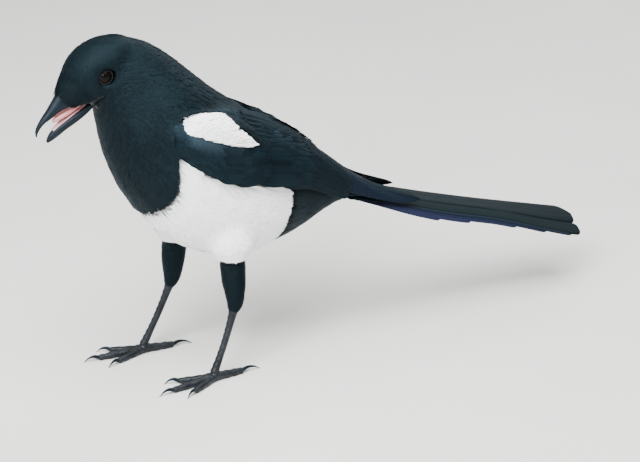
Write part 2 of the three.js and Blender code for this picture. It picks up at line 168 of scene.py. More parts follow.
def mesh_of(name, points, faces):
    """A mesh from points in millimetres and a list of face arrays, each (count, corners)."""
    mesh = bpy.data.meshes.new(name)
    points = np.asarray(points, np.float32).reshape(-1, 3) * MM
    corners = np.concatenate([f.ravel() for f in faces]).astype(np.int32)
    totals = np.concatenate([np.full(len(f), f.shape[1]) for f in faces]).astype(np.int32)
    mesh.vertices.add(len(points))
    mesh.vertices.foreach_set("co", points.ravel())
    mesh.loops.add(len(corners))
    mesh.loops.foreach_set("vertex_index", corners)
    mesh.polygons.add(len(totals))
    mesh.polygons.foreach_set("loop_start", np.concatenate([[0], np.cumsum(totals)[:-1]]).astype(np.int32))
    mesh.polygons.foreach_set("use_smooth", np.ones(len(totals), bool))
    mesh.update(calc_edges=True)
    mesh.validate()
    return mesh


def point_values(mesh, **values):
    """Named numbers on the points of a mesh."""
    for name, value in values.items():
        made = mesh.attributes.new(name, "FLOAT", "POINT")
        made.data.foreach_set("value", np.asarray(value, np.float32).ravel())


def uv_map(mesh, name, places):
    """A UV map from one place for each point."""
    layer = mesh.uv_layers.new(name=name, do_init=False)
    corner = np.zeros(len(mesh.loops), np.int32)
    mesh.loops.foreach_get("vertex_index", corner)
    layer.uv.foreach_set("vector", places.reshape(-1, 2)[corner].astype(np.float32).ravel())


def piece(name, mesh, material, replaced=()):
    """An object that rides on the bird's one body."""
    if not len(mesh.polygons):
        raise RuntimeError(f"{name} came out empty")
    thing = bpy.data.objects.new(name, mesh)
    bpy.context.scene.collection.objects.link(thing)
    mesh.materials.clear()
    mesh.materials.append(material)
    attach(thing, "root")
    if replaced:
        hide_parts(*replaced)
    return thing


def grid_faces(rows, columns, closed=False):
    """Quads between neighbours of a grid of points, round to the first column when closed."""
    i, j = np.meshgrid(np.arange(rows - 1), np.arange(columns if closed else columns - 1), indexing="ij")
    k = (j + 1) % columns
    here, after = i * columns, (i + 1) * columns
    return np.stack([here + j, here + k, after + k, after + j], -1).reshape(-1, 4)


def tube(rings):
    """A closed surface through rings of points, with a fan over each end, facing outwards."""
    count, sides = rings.shape[:2]
    points = np.concatenate([rings.reshape(-1, 3), rings[:1].mean(1), rings[-1:].mean(1)])
    j = np.arange(sides)
    k = (j + 1) % sides
    last = (count - 1) * sides
    start = np.stack([np.full(sides, count * sides), k, j], 1)
    end = np.stack([np.full(sides, count * sides + 1), last + j, last + k], 1)
    faces = [grid_faces(count, sides, closed=True), start, end]
    a, b, c, d = (points[faces[0][:, n]] for n in range(4))
    middle = points.mean(0)
    volume = (np.cross(c - a, d - b) * (a - middle)).sum()
    if volume < 0:
        faces = [f[:, ::-1] for f in faces]
    return points, faces


def joined(parts):
    """Several (points, faces) as one."""
    points, faces, start = [], [], 0
    for more, theirs in parts:
        points.append(more)
        faces += [f + start for f in theirs]
        start += len(more)
    return np.concatenate(points), faces


# Materials


class Finish:
    """A node material in the making, with a short way to add nodes."""

    def __init__(self, name):
        self.material = bpy.data.materials.new(name)
        self.material.use_nodes = True
        self.tree = self.material.node_tree
        self.shader = self.tree.nodes["Principled BSDF"]

    def node(self, kind, inputs=(), **settings):
        """A node with settings, and with numbers or links for its inputs by name or place."""
        made = self.tree.nodes.new(kind)
        for key, value in settings.items():
            setattr(made, key, value)
        for key, value in dict(inputs).items():
            if isinstance(value, bpy.types.NodeSocket):
                self.tree.links.new(value, made.inputs[key])
            else:
                made.inputs[key].default_value = value
        return made

    def math(self, operation, a, b=0.0, c=0.0):
        """One sum on up to three values."""
        return self.node("ShaderNodeMath", {0: a, 1: b, 2: c}, operation=operation).outputs[0]

    def ramp(self, value, low, high, to_low=0.0, to_high=1.0):
        """A value carried from one range to another, and held at its ends."""
        inputs = {"Value": value, "From Min": low, "From Max": high, "To Min": to_low, "To Max": to_high}
        return self.node("ShaderNodeMapRange", inputs).outputs["Result"]

    def blend(self, share, a, b):
        """A colour between two colours or links."""
        made = self.node("ShaderNodeMix", {"Factor": share}, data_type="RGBA")
        for socket, value in ((made.inputs[6], a), (made.inputs[7], b)):
            if isinstance(value, bpy.types.NodeSocket):
                self.tree.links.new(value, socket)
            else:
                socket.default_value = (*value[:3], 1)
        return made.outputs[2]

    def value(self, name):
        """A value stored on the mesh's points."""
        return self.node("ShaderNodeAttribute", attribute_name=name).outputs["Fac"]

    def place(self):
        """The point's place in the object, in metres."""
        return self.node("ShaderNodeTexCoord").outputs["Object"]

    def noise(self, scale, detail=3.0):
        """Soft noise with that many waves to the metre."""
        inputs = {"Vector": self.place(), "Scale": scale, "Detail": detail}
        return self.node("ShaderNodeTexNoise", inputs).outputs["Fac"]

    def set(self, **inputs):
        """Sets or links sockets of the shader, each named with low lines for its spaces."""
        for key, value in inputs.items():
            socket = self.shader.inputs[key.replace("_", " ")]
            if isinstance(value, bpy.types.NodeSocket):
                self.tree.links.new(value, socket)
            elif hasattr(value, "__len__"):
                socket.default_value = (*value[:3], 1)
            else:
                socket.default_value = value

    def bump(self, height, strength, distance):
        """Raises the surface's look by a height."""
        inputs = {"Height": height, "Strength": strength, "Distance": distance}
        normal = self.node("ShaderNodeBump", inputs).outputs["Normal"]
        self.tree.links.new(normal, self.shader.inputs["Normal"])


BARB_SLANT = -0.9  # how far a barb runs back along the shaft for each step outwards
BARB_WOBBLE = 2.5
BARB_HEIGHT = 0.0001
SKIN_BUMP = 0.0002  # metres, as the sizes in all materials


def barbs(finish, spacing, strength):
    """Fine ridges that slant out and forwards from the shaft of each feather."""
    place = finish.node("ShaderNodeUVMap", uv_map="Vane").outputs["UV"]
    apart = finish.node("ShaderNodeSeparateXYZ", {"Vector": place})
    out = finish.math("ABSOLUTE", apart.outputs["X"])
    slant = finish.math("MULTIPLY_ADD", out, BARB_SLANT, apart.outputs["Y"])
    wobble = finish.math("MULTIPLY", finish.noise(220), BARB_WOBBLE)
    phase = finish.math("MULTIPLY_ADD", slant, 2 * pi / spacing, wobble)
    ridge = finish.math("SINE", phase)
    finish.bump(ridge, strength, BARB_HEIGHT)
    return ridge


GLOSS_LEVEL = 0.05
GLOSS_TINT = (0.58, 0.8, 0.96)
FINE_BARBS = (0.7, 0.35)  # spacing in millimetres and strength
LONG_BARBS = (0.9, 0.3)
WHITE_BARBS = (0.6, 0.3)


def dark_plumage(name, gloss, roughness, metallic, lines=FINE_BARBS, edge=None):
    """Black feathers with a metallic gloss, uneven from feather to feather, with painted shade that darkens
    each towards its root, where the feathers over it would shade it.

    Where an edge colour is given, the feathers shade into it by their value "edge": the real colour of the
    outer webs on the tail and flight feathers, and a painted sheen on the wing coverts.
    """
    finish = Finish(name)
    ridge = barbs(finish, *lines)
    patch = finish.ramp(finish.noise(38), 0.35, 0.7, 0.2, 0.55)
    each = finish.value("shade")
    tint = finish.blend(finish.math("MULTIPLY_ADD", each, 0.4, patch), paint("black"), gloss)
    if edge is not None:
        tint = finish.blend(finish.value("edge"), tint, edge)
    # painted shade: each feather up to 55% darker at its root, where the feathers over it would shade it; on
    # the flight and tail feathers "along" holds the painted root shade set in blades
    root = finish.ramp(finish.value("along"), 0.0, 0.55, 0.45, 1.0)
    line = finish.ramp(ridge, -1, 1, 0.8, 1.0)
    painted_shade_and_barb_lines = finish.math("MULTIPLY", root, line)
    shaded = finish.node("ShaderNodeVectorMath", {0: tint, "Scale": painted_shade_and_barb_lines}, operation="SCALE").outputs[0]
    rough = finish.ramp(each, 0, 1, roughness - 0.05, roughness + 0.08)
    finish.set(Base_Color=shaded, Roughness=rough, Metallic=metallic)
    finish.set(Specular_IOR_Level=GLOSS_LEVEL, Specular_Tint=GLOSS_TINT)
    return finish.material


def white_plumage():
    """White feathers: greyer down at the root, a little uneven."""
    finish = Finish("white_plumage")
    ridge = barbs(finish, *WHITE_BARBS)
    root = finish.ramp(finish.value("along"), 0.0, 0.6, 0.55, 0.0)
    patch = finish.ramp(finish.noise(45), 0.3, 0.75, 0.0, 0.22)
    each = finish.math("MULTIPLY", finish.value("shade"), 0.18)
    line = finish.ramp(ridge, -1, 1, 0.1, 0.0)
    amount = finish.math("ADD", finish.math("ADD", root, patch), finish.math("ADD", each, line))
    finish.set(Base_Color=finish.blend(amount, paint("white"), paint("white_shade")), Roughness=0.75)
    return finish.material


# The form of the body, and the field of distances round it

FLESH_NODES = ("head", "neck", "trunk", "thigh_left", "thigh_right")
BODY_NODES = (*FLESH_NODES, "scapulars_left", "scapulars_right")
WING_ARM_NODES = ("wing_left", "wing_right")
BILL_NODES = ("bill_upper", "bill_lower")
GROWTH = 0.35  # how far each solid grows to meet its neighbours
BODY_VOXEL, WING_VOXEL = 1.3, 1.6


def united(name, nodes, voxel, smoothing):
    """Copies of solids, each grown until it meets its neighbours, as one smooth closed mesh."""
    whole = bmesh.new()
    for node in nodes:
        whole.from_mesh(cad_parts[node].data)
    bmesh.ops.remove_doubles(whole, verts=whole.verts, dist=1e-6)
    whole.normal_update()
    mesh = bpy.data.meshes.new(name)
    whole.to_mesh(mesh)
    whole.free()
    places, normals = arrays_of(mesh)
    mesh.vertices.foreach_set("co", ((places + GROWTH * normals) * MM).astype(np.float32).ravel())
    thing = bpy.data.objects.new(name, mesh)
    bpy.context.scene.collection.objects.link(thing)
    remesh = thing.modifiers.new("Voxels", "REMESH")
    remesh.mode, remesh.voxel_size = "VOXEL", voxel * MM
    smooth = thing.modifiers.new("Smooth", "SMOOTH")
    smooth.factor, smooth.iterations = 0.5, smoothing
    graph = bpy.context.evaluated_depsgraph_get()
    made = bpy.data.meshes.new_from_object(thing.evaluated_get(graph))
    bpy.data.objects.remove(thing)
    return made


def arrays_of(mesh):
    """Points in millimetres and normals of a mesh."""
    places = np.zeros(len(mesh.vertices) * 3, np.float32)
    normals = np.zeros(len(mesh.vertices) * 3, np.float32)
    mesh.vertices.foreach_get("co", places)
    mesh.vertex_normals.foreach_get("vector", normals)
    return places.reshape(-1, 3).astype(float) / MM, normals.reshape(-1, 3).astype(float)


class Field:
    """How far any point near a surface is from it, and which way is out.

    Each cell of a grid keeps a weighted sum of its distances to the tangent planes of the
    surface's points nearby, with weights that fall off as a bell curve, and of their normals.
    """

    CELL = 2.0  # in millimetres
    REACH = 3  # in cells
    SPREAD = 2.0  # of the bell curve, in millimetres

    def __init__(self, places, normals):
        self.low = places.min(0) - (self.REACH + 2) * self.CELL
        self.shape = np.ceil((places.max(0) - self.low) / self.CELL).astype(int) + self.REACH + 3
        home = np.floor((places - self.low) / self.CELL).astype(int)
        total = int(np.prod(self.shape))
        sums = np.zeros((total, 5))
        near = np.arange(-self.REACH, self.REACH + 1)
        for step in np.stack(np.meshgrid(near, near, near, indexing="ij"), -1).reshape(-1, 3):
            cell = home + step
            away = self.low + cell * self.CELL - places
            apart = (away**2).sum(1)
            if (step**2).sum() > (self.REACH + 0.5) ** 2:
                continue
            weight = np.exp(-apart / (2 * self.SPREAD**2)) + 1e-9
            index = np.ravel_multi_index(cell.T, self.shape)
            distance = (away * normals).sum(1)
            for column, value in enumerate((weight, weight * distance, *(weight[:, None] * normals).T)):
                sums[:, column] += np.bincount(index, value, total)
        self.sums = sums

    def at(self, p):
        """Distance and normal at millimetre points, by blending the eight cells round each."""
        place = np.clip((p - self.low) / self.CELL, 0, np.array(self.shape) - 1.001)
        base = place.astype(int)
        share = place - base
        total = np.zeros((len(p), 5))
        for corner in np.ndindex(2, 2, 2):
            weight = np.prod(np.where(np.array(corner) == 1, share, 1 - share), axis=1)
            index = np.ravel_multi_index((base + corner).T, self.shape)
            total += weight[:, None] * self.sums[index]
        weight = np.maximum(total[:, :1], 1e-12)
        return total[:, 1] / weight[:, 0], unit(total[:, 2:] / weight)

    def held(self, p):
        """How much of the surface lies near each point, as the sum of its weights."""
        cell = np.floor((p - self.low) / self.CELL).astype(int)
        inside = ((cell >= 0) & (cell < self.shape)).all(1)
        index = np.ravel_multi_index(np.where(inside[:, None], cell, 0).T, self.shape)
        return inside * self.sums[index, 0]

    def press(self, p, level):
        """The nearest points to p that lie at a level above the surface, and the normals there."""
        distance, normal = self.at(p)
        p = p + normal * (level - distance)[:, None]
        distance, normal = self.at(p)
        return p + normal * (level - distance)[:, None], normal


# Where the white lies


BIB_X, BIB_TURN, BIB_SWEEP, BIB_POWER = -109.7, 120, 0.035, 1.9
VENT_X, VENT_TURNS = -38.0, ((98, 0.13), (81, 0.5))  # each a height and the slope added below it
LEG_X, LEG_Y = {LEFT: -73.7, RIGHT: -88}, 24.5
UNDER_WING = ((-113.5, -87.5, -49.5, -7.5), (146, 131, 120, 106))  # x and z
BELLY_BOTTOM, THIGH_TOP, THIGH_REACH = 60, 70.5, 14


def bib_edge(z):
    """The x of the black breast's rear edge at a height: upright at the side, sweeping forwards below."""
    return BIB_X - BIB_SWEEP * np.maximum(0, BIB_TURN - z) ** BIB_POWER


def vent_edge(z):
    """The x where the white belly ends behind the legs: upright at the side, further forwards below."""
    x = VENT_X
    for turn, slope in VENT_TURNS:
        x = x - slope * np.maximum(0, turn - z)
    return x


def leg_axis(p):
    """Distance from the nearer leg's upright line."""
    x = np.where(p[..., 1] < 0, LEG_X[LEFT], LEG_X[RIGHT])
    return np.hypot(p[..., 0] - x, np.abs(p[..., 1]) - LEG_Y)


def white_belly(p):
    """Whether points lie on the white belly: behind the bib, below the wing and above the black thighs."""
    x, z = p[:, 0], p[:, 2]
    thigh = (z < THIGH_TOP) & (leg_axis(p) < THIGH_REACH)
    between = (x > bib_edge(z)) & (x < vent_edge(z)) & (z > BELLY_BOTTOM) & (z < np.interp(x, *UNDER_WING))
    return between & ~thigh


SHOULDER_PATCH = [
    (-109.4, 156.5), (-106.6, 160.1), (-102.2, 161.4), (-96.2, 161.6), (-90.8, 160.8), (-85.2, 158.5),
    (-79.1, 154.1), (-72.6, 148.6), (-64, 140.1), (-76.1, 143.5), (-85.3, 146.5), (-93.8, 149.7),
    (-100, 151.5), (-105.2, 152.9), (-109.2, 153.9),
]
SHOULDER_Y = 18  # no nearer to the midline than this


def inside_outline(x, z, outline):
    """Which points lie inside an outline, by counting the edges to their right."""
    inside = np.zeros(len(x), bool)
    for (x0, z0), (x1, z1) in zip(outline, outline[1:] + outline[:1]):
        crosses = (z0 > z) != (z1 > z)
        inside ^= crosses & (x < (x1 - x0) * (z - z0) / ((z1 - z0) or 1) + x0)
    return inside


def shoulder_patch(p):
    """Whether points lie on the white shoulder, seen from the side."""
    return inside_outline(p[:, 0], p[:, 2], SHOULDER_PATCH) & (np.abs(p[:, 1]) > SHOULDER_Y)


def trimmed(p, heading, length, inside):
    """The longest that each feather may be, up to its length, with its tip still inside; else 0."""
    best = np.zeros(len(p))
    for share in np.linspace(0.25, 1, 16):
        reach = length * share
        best = np.where(inside(p + heading * reach[:, None]), reach, best)
    return best


# Lines that the feathers lie along, each from front to back.
GUIDES = [
    [(-165, 0, 179), (-155, 0, 196), (-143, 0, 204), (-127, 0, 203), (-110, 0, 193), (-92, 0, 182),
     (-77, 0, 168), (-54, 0, 151), (-30, 0, 128), (-4, 0, 108), (22, 0, 94)],
    [(-156, 0, 160), (-148, 0, 161), (-144, 0, 157), (-140, 0, 140), (-134, 0, 122), (-120, 0, 99),
     (-97, 0, 76), (-73, 0, 66), (-48, 0, 66), (-25, 0, 73), (-6, 0, 81), (20, 0, 88)],
    [(-165, 8, 173), (-150, 14, 180), (-138, 15, 188), (-126, 16, 184), (-114, 22, 170), (-102, 30, 150),
     (-88, 37, 130), (-72, 38, 117), (-54, 36, 109), (-37, 30, 103), (-20, 22, 99), (10, 12, 94)],
    [(-152, 10, 168), (-144, 13, 168), (-137, 15, 163), (-130, 24, 148), (-118, 31, 128), (-98, 33, 108),
     (-74, 33, 92), (-50, 30, 84), (-30, 20, 84), (-8, 12, 86)],
]
LEG_GUIDES = {
    "left": [(-73, 22, 84), (-73.7, 24, 64), (-74, 25.5, 44)],
    "right": [(-86, 22, 84), (-87.5, 24, 64), (-89, 25.5, 44)],
}


def guide_steps():
    """The middles and headings of all the short steps along the guides, on both sides."""
    lines = [np.array(line, float) for line in GUIDES]
    for name, side in SIDES.items():
        lines += [np.array(line, float) * (1, side, 1) for line in GUIDES[2:]]
        lines.append(np.array(LEG_GUIDES[name], float) * (1, side, 1))
    starts = np.concatenate([line[:-1] for line in lines])
    ends = np.concatenate([line[1:] for line in lines])
    return (starts + ends) / 2, unit(ends - starts)


GUIDE_PLACES, GUIDE_HEADINGS = guide_steps()


def lie(p, normal):
    """The heading of a feather at p: the guides' headings, the near ones most, along the surface."""
    apart = ((p[:, None, :] - GUIDE_PLACES) ** 2).sum(2)
    weight = 1 / (apart + 16) ** 2.5
    heading = (weight[:, :, None] * GUIDE_HEADINGS).sum(1)
    heading -= (heading * normal).sum(1, keepdims=True) * normal
    return unit(heading)


# The unwrap: a share along the bird and an angle round it.
SPINE = [
    (-168, 172), (-145, 186), (-128, 178), (-115, 162), (-102, 148), (-88, 132), (-72, 118), (-54, 109),
    (-37, 103), (-20, 99), (-4, 97), (22, 92),
]
MAP_MARGIN, MAP_WIDTH = 0.01, 0.97


def unwrap(p):
    """Each point's share of the way along the spine, and its angle round it as a share of a turn."""
    line = rows_at(SPINE, np.linspace(0, 1, 160))
    nearest = ((p[:, None, ::2] - line) ** 2).sum(2).argmin(1)
    heading = np.gradient(line, axis=0)[nearest]
    away = p[:, ::2] - line[nearest]
    up = (heading[:, 0] * away[:, 1] - heading[:, 1] * away[:, 0]) / np.linalg.norm(heading, axis=1)
    angle = np.arctan2(p[:, 1], up) / (2 * pi) + 0.5
    share = nearest / (len(line) - 1)
    return MAP_MARGIN + MAP_WIDTH * np.stack([share, angle], 1)


PATCH = 0.003  # the size of each feather's own place on the OFBake map


def vanes(name, spine, normal, half, rng, columns, ragged, camber, root=None):
    """Many feathers as one mesh, each a grid of rows along it and columns across it.

    The point at row u and column v, from -1 to 1, is the centre line at the share u of that
    column's own length, plus v times the half width sideways, less camber times v squared down.
    The half width grows from the root and closes in a round tip.
    """
    count, rows = spine.shape[:2]
    across = np.linspace(-1, 1, columns)
    lengths = 1 - 0.16 * np.abs(across) ** 2 - ragged * rng.random((count, columns))
    u = np.linspace(0, 1, rows)[None, :, None] * lengths[:, None, :]
    place = u * (rows - 1)
    i = np.minimum(place.astype(int), rows - 2)
    f = (place - i)[..., None]
    each = np.arange(count)[:, None, None]
    middle = mix(spine[each, i], spine[each, i + 1], f)
    up = unit(mix(normal[each, i], normal[each, i + 1], f))
    ahead = unit(np.gradient(spine, axis=1))
    side = unit(np.cross(up, mix(ahead[each, i], ahead[each, i + 1], f)))
    width = (0.3 + 0.7 * smoothstep(u, 0, 0.45)) * np.sqrt(np.maximum(1.02 - u**3, 0.02))
    reach = width * half[:, None, None] * across
    points = middle + side * reach[..., None]
    points -= up * (camber * np.abs(reach * across))[..., None]
    faces = grid_faces(rows, columns)[None] + (np.arange(count) * rows * columns)[:, None, None]
    mesh = mesh_of(name, points, [faces.reshape(-1, 4)])
    lengths_mm = np.linalg.norm(np.diff(spine, axis=1), axis=2).sum(1)
    flat = np.broadcast_to(across, u.shape)
    uv_map(mesh, "Vane", np.stack([reach, u * lengths_mm[:, None, None]], -1))
    home = unwrap(spine[:, 0]) if root is None else root
    patch = np.stack([u, 0.5 + 0.5 * flat], -1) * PATCH
    uv_map(mesh, "OFBake", home[:, None, None, :] + patch)
    point_values(mesh, shade=np.broadcast_to(rng.random(count)[:, None, None], u.shape), along=u)
    return mesh


CROWDING = 3.0  # how many points are tried for each one that is kept
GRADE = 1.12  # each size of cube is this much larger than the one before
CODE_BASE = 5000  # more than the count of cubes on any side
CODE_MIDDLE = (50, 2000)  # added to sizes and places, so that none is below zero


def scatter(places, triangles, spacing, rng):
    """Random points on triangles, thinned so that each small cube of space keeps about one."""
    a, b, c = (places[triangles[:, n]] for n in range(3))
    areas = np.linalg.norm(np.cross(b - a, c - a), axis=1) / 2
    middles = (a + b + c) / 3
    weights = areas / spacing(middles) ** 2
    count = int(weights.sum() * CROWDING)
    chosen = rng.choice(len(triangles), count, p=weights / weights.sum())
    s, t = rng.random((2, count, 1))
    over = s + t > 1
    s, t = np.where(over, 1 - s, s), np.where(over, 1 - t, t)
    points = a[chosen] + s * (b[chosen] - a[chosen]) + t * (c[chosen] - a[chosen])
    level = np.round(np.log(spacing(points)) / np.log(GRADE)).astype(int)
    cell = np.floor(points / GRADE ** level[:, None]).astype(int)
    code = (level + CODE_MIDDLE[0]).astype(np.int64)
    for column in cell.T:
        code = code * CODE_BASE + column + CODE_MIDDLE[1]
    _, first = np.unique(code, return_index=True)
    return points[np.sort(first)]


# Pieces: the body

BILL_BASE = from_head(20.0, 0.0, 0.0)
EYE_MIDDLES = {
    name: from_head(EYE_PLACE[0], side * EYE_LATERAL, EYE_PLACE[1]) for name, side in SIDES.items()
}


def from_bill(p):
    """Distance from the base of the bill."""
    return np.linalg.norm(p - BILL_BASE, axis=-1)


def coat_depth(p):
    """The coat's depth at millimetre points: thin on the face and on the lower legs and rump's end."""
    face = mix(size("face_depth"), size("coat_depth"), smoothstep(from_bill(p), 12, 60))
    leg = mix(0.8, 1.0, smoothstep(p[..., 2], 42, 70))
    rump = mix(1.0, 0.35, smoothstep(p[..., 0], -5, 20))
    return face * leg * rump


def spaced(spacing):
    """The same spacing everywhere, for scatter."""
    return lambda p: np.full(len(p), spacing)


SETTINGS = {}  # meshes and fields that several pieces share


def plumage_form():
    """The smooth outline of the plumage, and the field round it."""
    if "form" not in SETTINGS:
        mesh = united("Outline", BODY_NODES + WING_ARM_NODES + BILL_NODES, BODY_VOXEL, 14)
        places, normals = arrays_of(mesh)
        mesh.calc_loop_triangles()
        triangles = np.zeros(len(mesh.loop_triangles) * 3, np.int32)
        mesh.loop_triangles.foreach_get("vertices", triangles)
        bpy.data.meshes.remove(mesh)
        wings = united("Wings", WING_ARM_NODES, WING_VOXEL, 4)
        wing_field = Field(*arrays_of(wings))
        bpy.data.meshes.remove(wings)
        SETTINGS["form"] = places, triangles.reshape(-1, 3), Field(places, normals), wing_field
    return SETTINGS["form"]


SKIN_FRONT = 15.0  # the skin ends inside the base of the bill, this far along it
SKIN_FRONT_REACH = 18


def build_skin():
    """The body's skin: the united solids of the flesh, moved inwards by the coat's depth."""
    mesh = united("Skin", BODY_NODES, BODY_VOXEL, 22)
    places, normals = arrays_of(mesh)
    inner = places - normals * (coat_depth(places)[:, None] + GROWTH)
    along, _, _ = to_head(inner)
    past = np.where(from_bill(places) < SKIN_FRONT_REACH, np.maximum(along - SKIN_FRONT, 0), 0)
    inner -= past[:, None] * HEAD_AXIS
    mesh.vertices.foreach_set("co", (inner * MM).astype(np.float32).ravel())
    mesh.polygons.foreach_set("use_smooth", np.ones(len(mesh.polygons), bool))
    mesh.update()
    point_values(mesh, white=white_belly(places) | shoulder_patch(places))
    finish = Finish("skin")
    grain = finish.noise(420, 5)
    finish.bump(grain, 0.5, SKIN_BUMP)
    mottled = finish.ramp(finish.noise(60), 0.3, 0.7)
    skins = paint("skin_dark"), paint("skin_pale")
    dark, pale = (finish.blend(mottled, darker(skin, 0.6), skin) for skin in skins)
    finish.set(Base_Color=finish.blend(finish.value("white"), dark, pale), Roughness=0.6)
    piece("skin", mesh, finish.material, FLESH_NODES)


def feather_lines(roots, length, rows, low, high, field, headings=None):
    """Centre lines laid over the field from their roots, rising from the level low to high."""
    here, normal = field.press(roots, low)
    lines, normals = [here], [normal]
    heading = lie(here, normal) if headings is None else headings
    for row in range(1, rows):
        step = (length / (rows - 1))[:, None]
        heading = unit(heading - (heading * normal).sum(1, keepdims=True) * normal)
        level = mix(low, high, row / (rows - 1))
        here, normal = field.press(here + heading * step, level)
        if headings is None:
            heading = unit(heading + 0.6 * lie(here, normal))
        lines.append(here)
        normals.append(normal)
    return np.stack(lines, 1), np.stack(normals, 1)


STRAIGHT = 0.8
MOUTH_END = 50
MOUTH_FOR_ROOTS, MOUTH_FOR_TIPS = (7.8, -9.3, -7.2), (9.5, -8.6, -7.8)  # start, floor and roof
BARE_BILL = ((18.5, -5, np.inf, 6.5), (14.5, -16, -4, 8))  # start, lowest, highest and half width
EYE_BARE = 6.9
SHANK_TOP = 38.5
WING_FRONT = -106
WING_HELD, WING_NEAR = 0.3, 1.4  # the hold and the distance that count as on the wing
FACE_END, HEAD_END = 26, 48  # distances from the bill's base
FRONT_X, NECK_Z, LEG_Z, LEG_REAR_X = -96, 148, 84, -55


def unfolded(spine, length):
    """Which centre lines run nearly straight: those caught in a crease are left out."""
    return np.linalg.norm(spine[:, -1] - spine[:, 0], axis=1) > STRAIGHT * length


def from_eyes(p):
    """Distance from the nearer eye's middle."""
    return np.minimum(*(np.linalg.norm(p - middle, axis=-1) for middle in EYE_MIDDLES.values()))


def feather_length(p):
    """Feather lengths by place: short round the bill and eyes, longest on the flanks."""
    away = from_bill(p)
    length = mix(size("face_feather"), size("body_feather"), smoothstep(away, 4, 95))
    length += 1.2 * smoothstep(away, 10, 30)
    length *= mix(0.55, 1, smoothstep(from_eyes(p), 6, 14))
    leg = smoothstep(p[..., 2], 88, 70) * smoothstep(leg_axis(p), 20, 15)
    return mix(length * mix(1.15, 1, smoothstep(p[..., 2], 80, 110)), size("leg_feather"), leg)


def feather_spacing(p):
    """Distance from feather to feather: a base, and a share of their length."""
    return 0.36 + 0.095 * feather_length(p)


def in_mouth(p, zone):
    """Whether points lie between the mandibles: past a start, over a floor and under a slanting roof."""
    start, floor, roof = zone
    along, _, above = to_head(p)
    return (along > start) & (above > floor) & (above < 3 * (along - 8.6) / 14 + roof) & (along < MOUTH_END)


def bare(p):
    """Where no feathers grow: the bill, the mouth, the eyes and the shanks."""
    along, lateral, above = to_head(p)
    none = in_mouth(p, MOUTH_FOR_ROOTS) | (from_eyes(p) < EYE_BARE) | (p[:, 2] < SHANK_TOP)
    for start, low, high, half in BARE_BILL:
        none |= (along > start) & (above > low) & (above < high) & (np.abs(lateral) < half)
    return none


def body_coat(colours, rng):
    """All the small feathers of the body, by part: a mesh for each colour and region."""
    places, triangles, field, wing_field = plumage_form()
    roots = scatter(places, triangles, feather_spacing, rng)
    _, normal = field.at(roots)
    over_wing, _ = wing_field.at(roots)
    on_wing = (wing_field.held(roots) > WING_HELD) & (np.abs(over_wing) < WING_NEAR)
    keep = ~bare(roots) & ~(on_wing & (roots[:, 0] > WING_FRONT))
    roots, normal = roots[keep], normal[keep]
    lengths = feather_length(roots) * rng.uniform(0.85, 1.15, len(roots))
    heading = lie(roots, normal)
    white = white_belly(roots)
    white_length = trimmed(roots, heading, lengths, white_belly)

    def over_black(p):
        """Whether tips, moved out by a little of their length, lie on the black."""
        return ~white_belly(p + 0.15 * (p - roots)) & ~shoulder_patch(p)

    black_length = trimmed(roots, heading, lengths, over_black)
    lengths = np.where(white, white_length, black_length)
    keep = (lengths > 1.0) & ~shoulder_patch(roots)
    roots, lengths, white = roots[keep], lengths[keep], white[keep]
    away, x, z = from_bill(roots), roots[:, 0], roots[:, 2]
    body = ~white & (away >= HEAD_END)
    parts = {
        "coat_face": ~white & (away < FACE_END),
        "coat_head": ~white & (away >= FACE_END) & (away < HEAD_END),
        "coat_neck": body & (x < FRONT_X) & (z > NECK_Z),
        "coat_breast": body & (x < FRONT_X) & (z > LEG_Z) & (z <= NECK_Z),
        "coat_legs": body & (z <= LEG_Z) & (x < LEG_REAR_X),
        "coat_belly": white,
    }
    parts["coat_back"] = ~np.any(list(parts.values()), axis=0)
    for name, chosen in parts.items():
        p = roots[chosen]
        length = lengths[chosen]
        depth = coat_depth(p) * 0.5
        white = name == "coat_belly"
        leg = smoothstep(p[:, 2], 66, 42)
        lift = rng.uniform(-0.1, 0.1, len(p)) - 0.9 * leg
        spine, up = feather_lines(p, length, 5, -depth - 0.5 * leg, lift, field)
        half = (0.085 if white else 0.095) * length + 0.22
        if name == "coat_face":
            laid = unfolded(spine, length) & ~in_mouth(spine, MOUTH_FOR_TIPS).any(1)
            spine, up, half = spine[laid], up[laid], half[laid]
        mesh = vanes(name, spine, up, half, rng, columns=4, ragged=0.25, camber=0.1)
        material = colours["white" if white else "black" if name == "coat_legs" else "sheen"]
        piece(name, mesh, material)


# Pieces: the white shoulder feathers and the wings

WING_LOWER = [
    (-113.5, 30, 142), (-87.5, 40.5, 123.5), (-49.5, 39, 113), (-7.5, 28, 100), (24.5, 21, 91),
    (56.5, 16, 83),
]
WING_UPPER = [
    (-113.5, 27, 159), (-85.5, 24, 162), (-49.5, 11, 148.5), (-11.5, 5, 125), (22.5, 9, 101),
    (57.5, 14, 86.5),
]
WING_LENGTH = 178
WING_CORE_LIFT = -0.8
WING_BULGE = 5.5
WING_OUTER, WING_INNER, WING_TIP = 2.2, 4.0, 0.9  # thicknesses outwards, inwards and at the tip
WING_TIP_LIFT = {LEFT: -5, RIGHT: -4.5}
WING_TIP_X = (-44.5, 15.5)  # where the lift begins and where it is whole


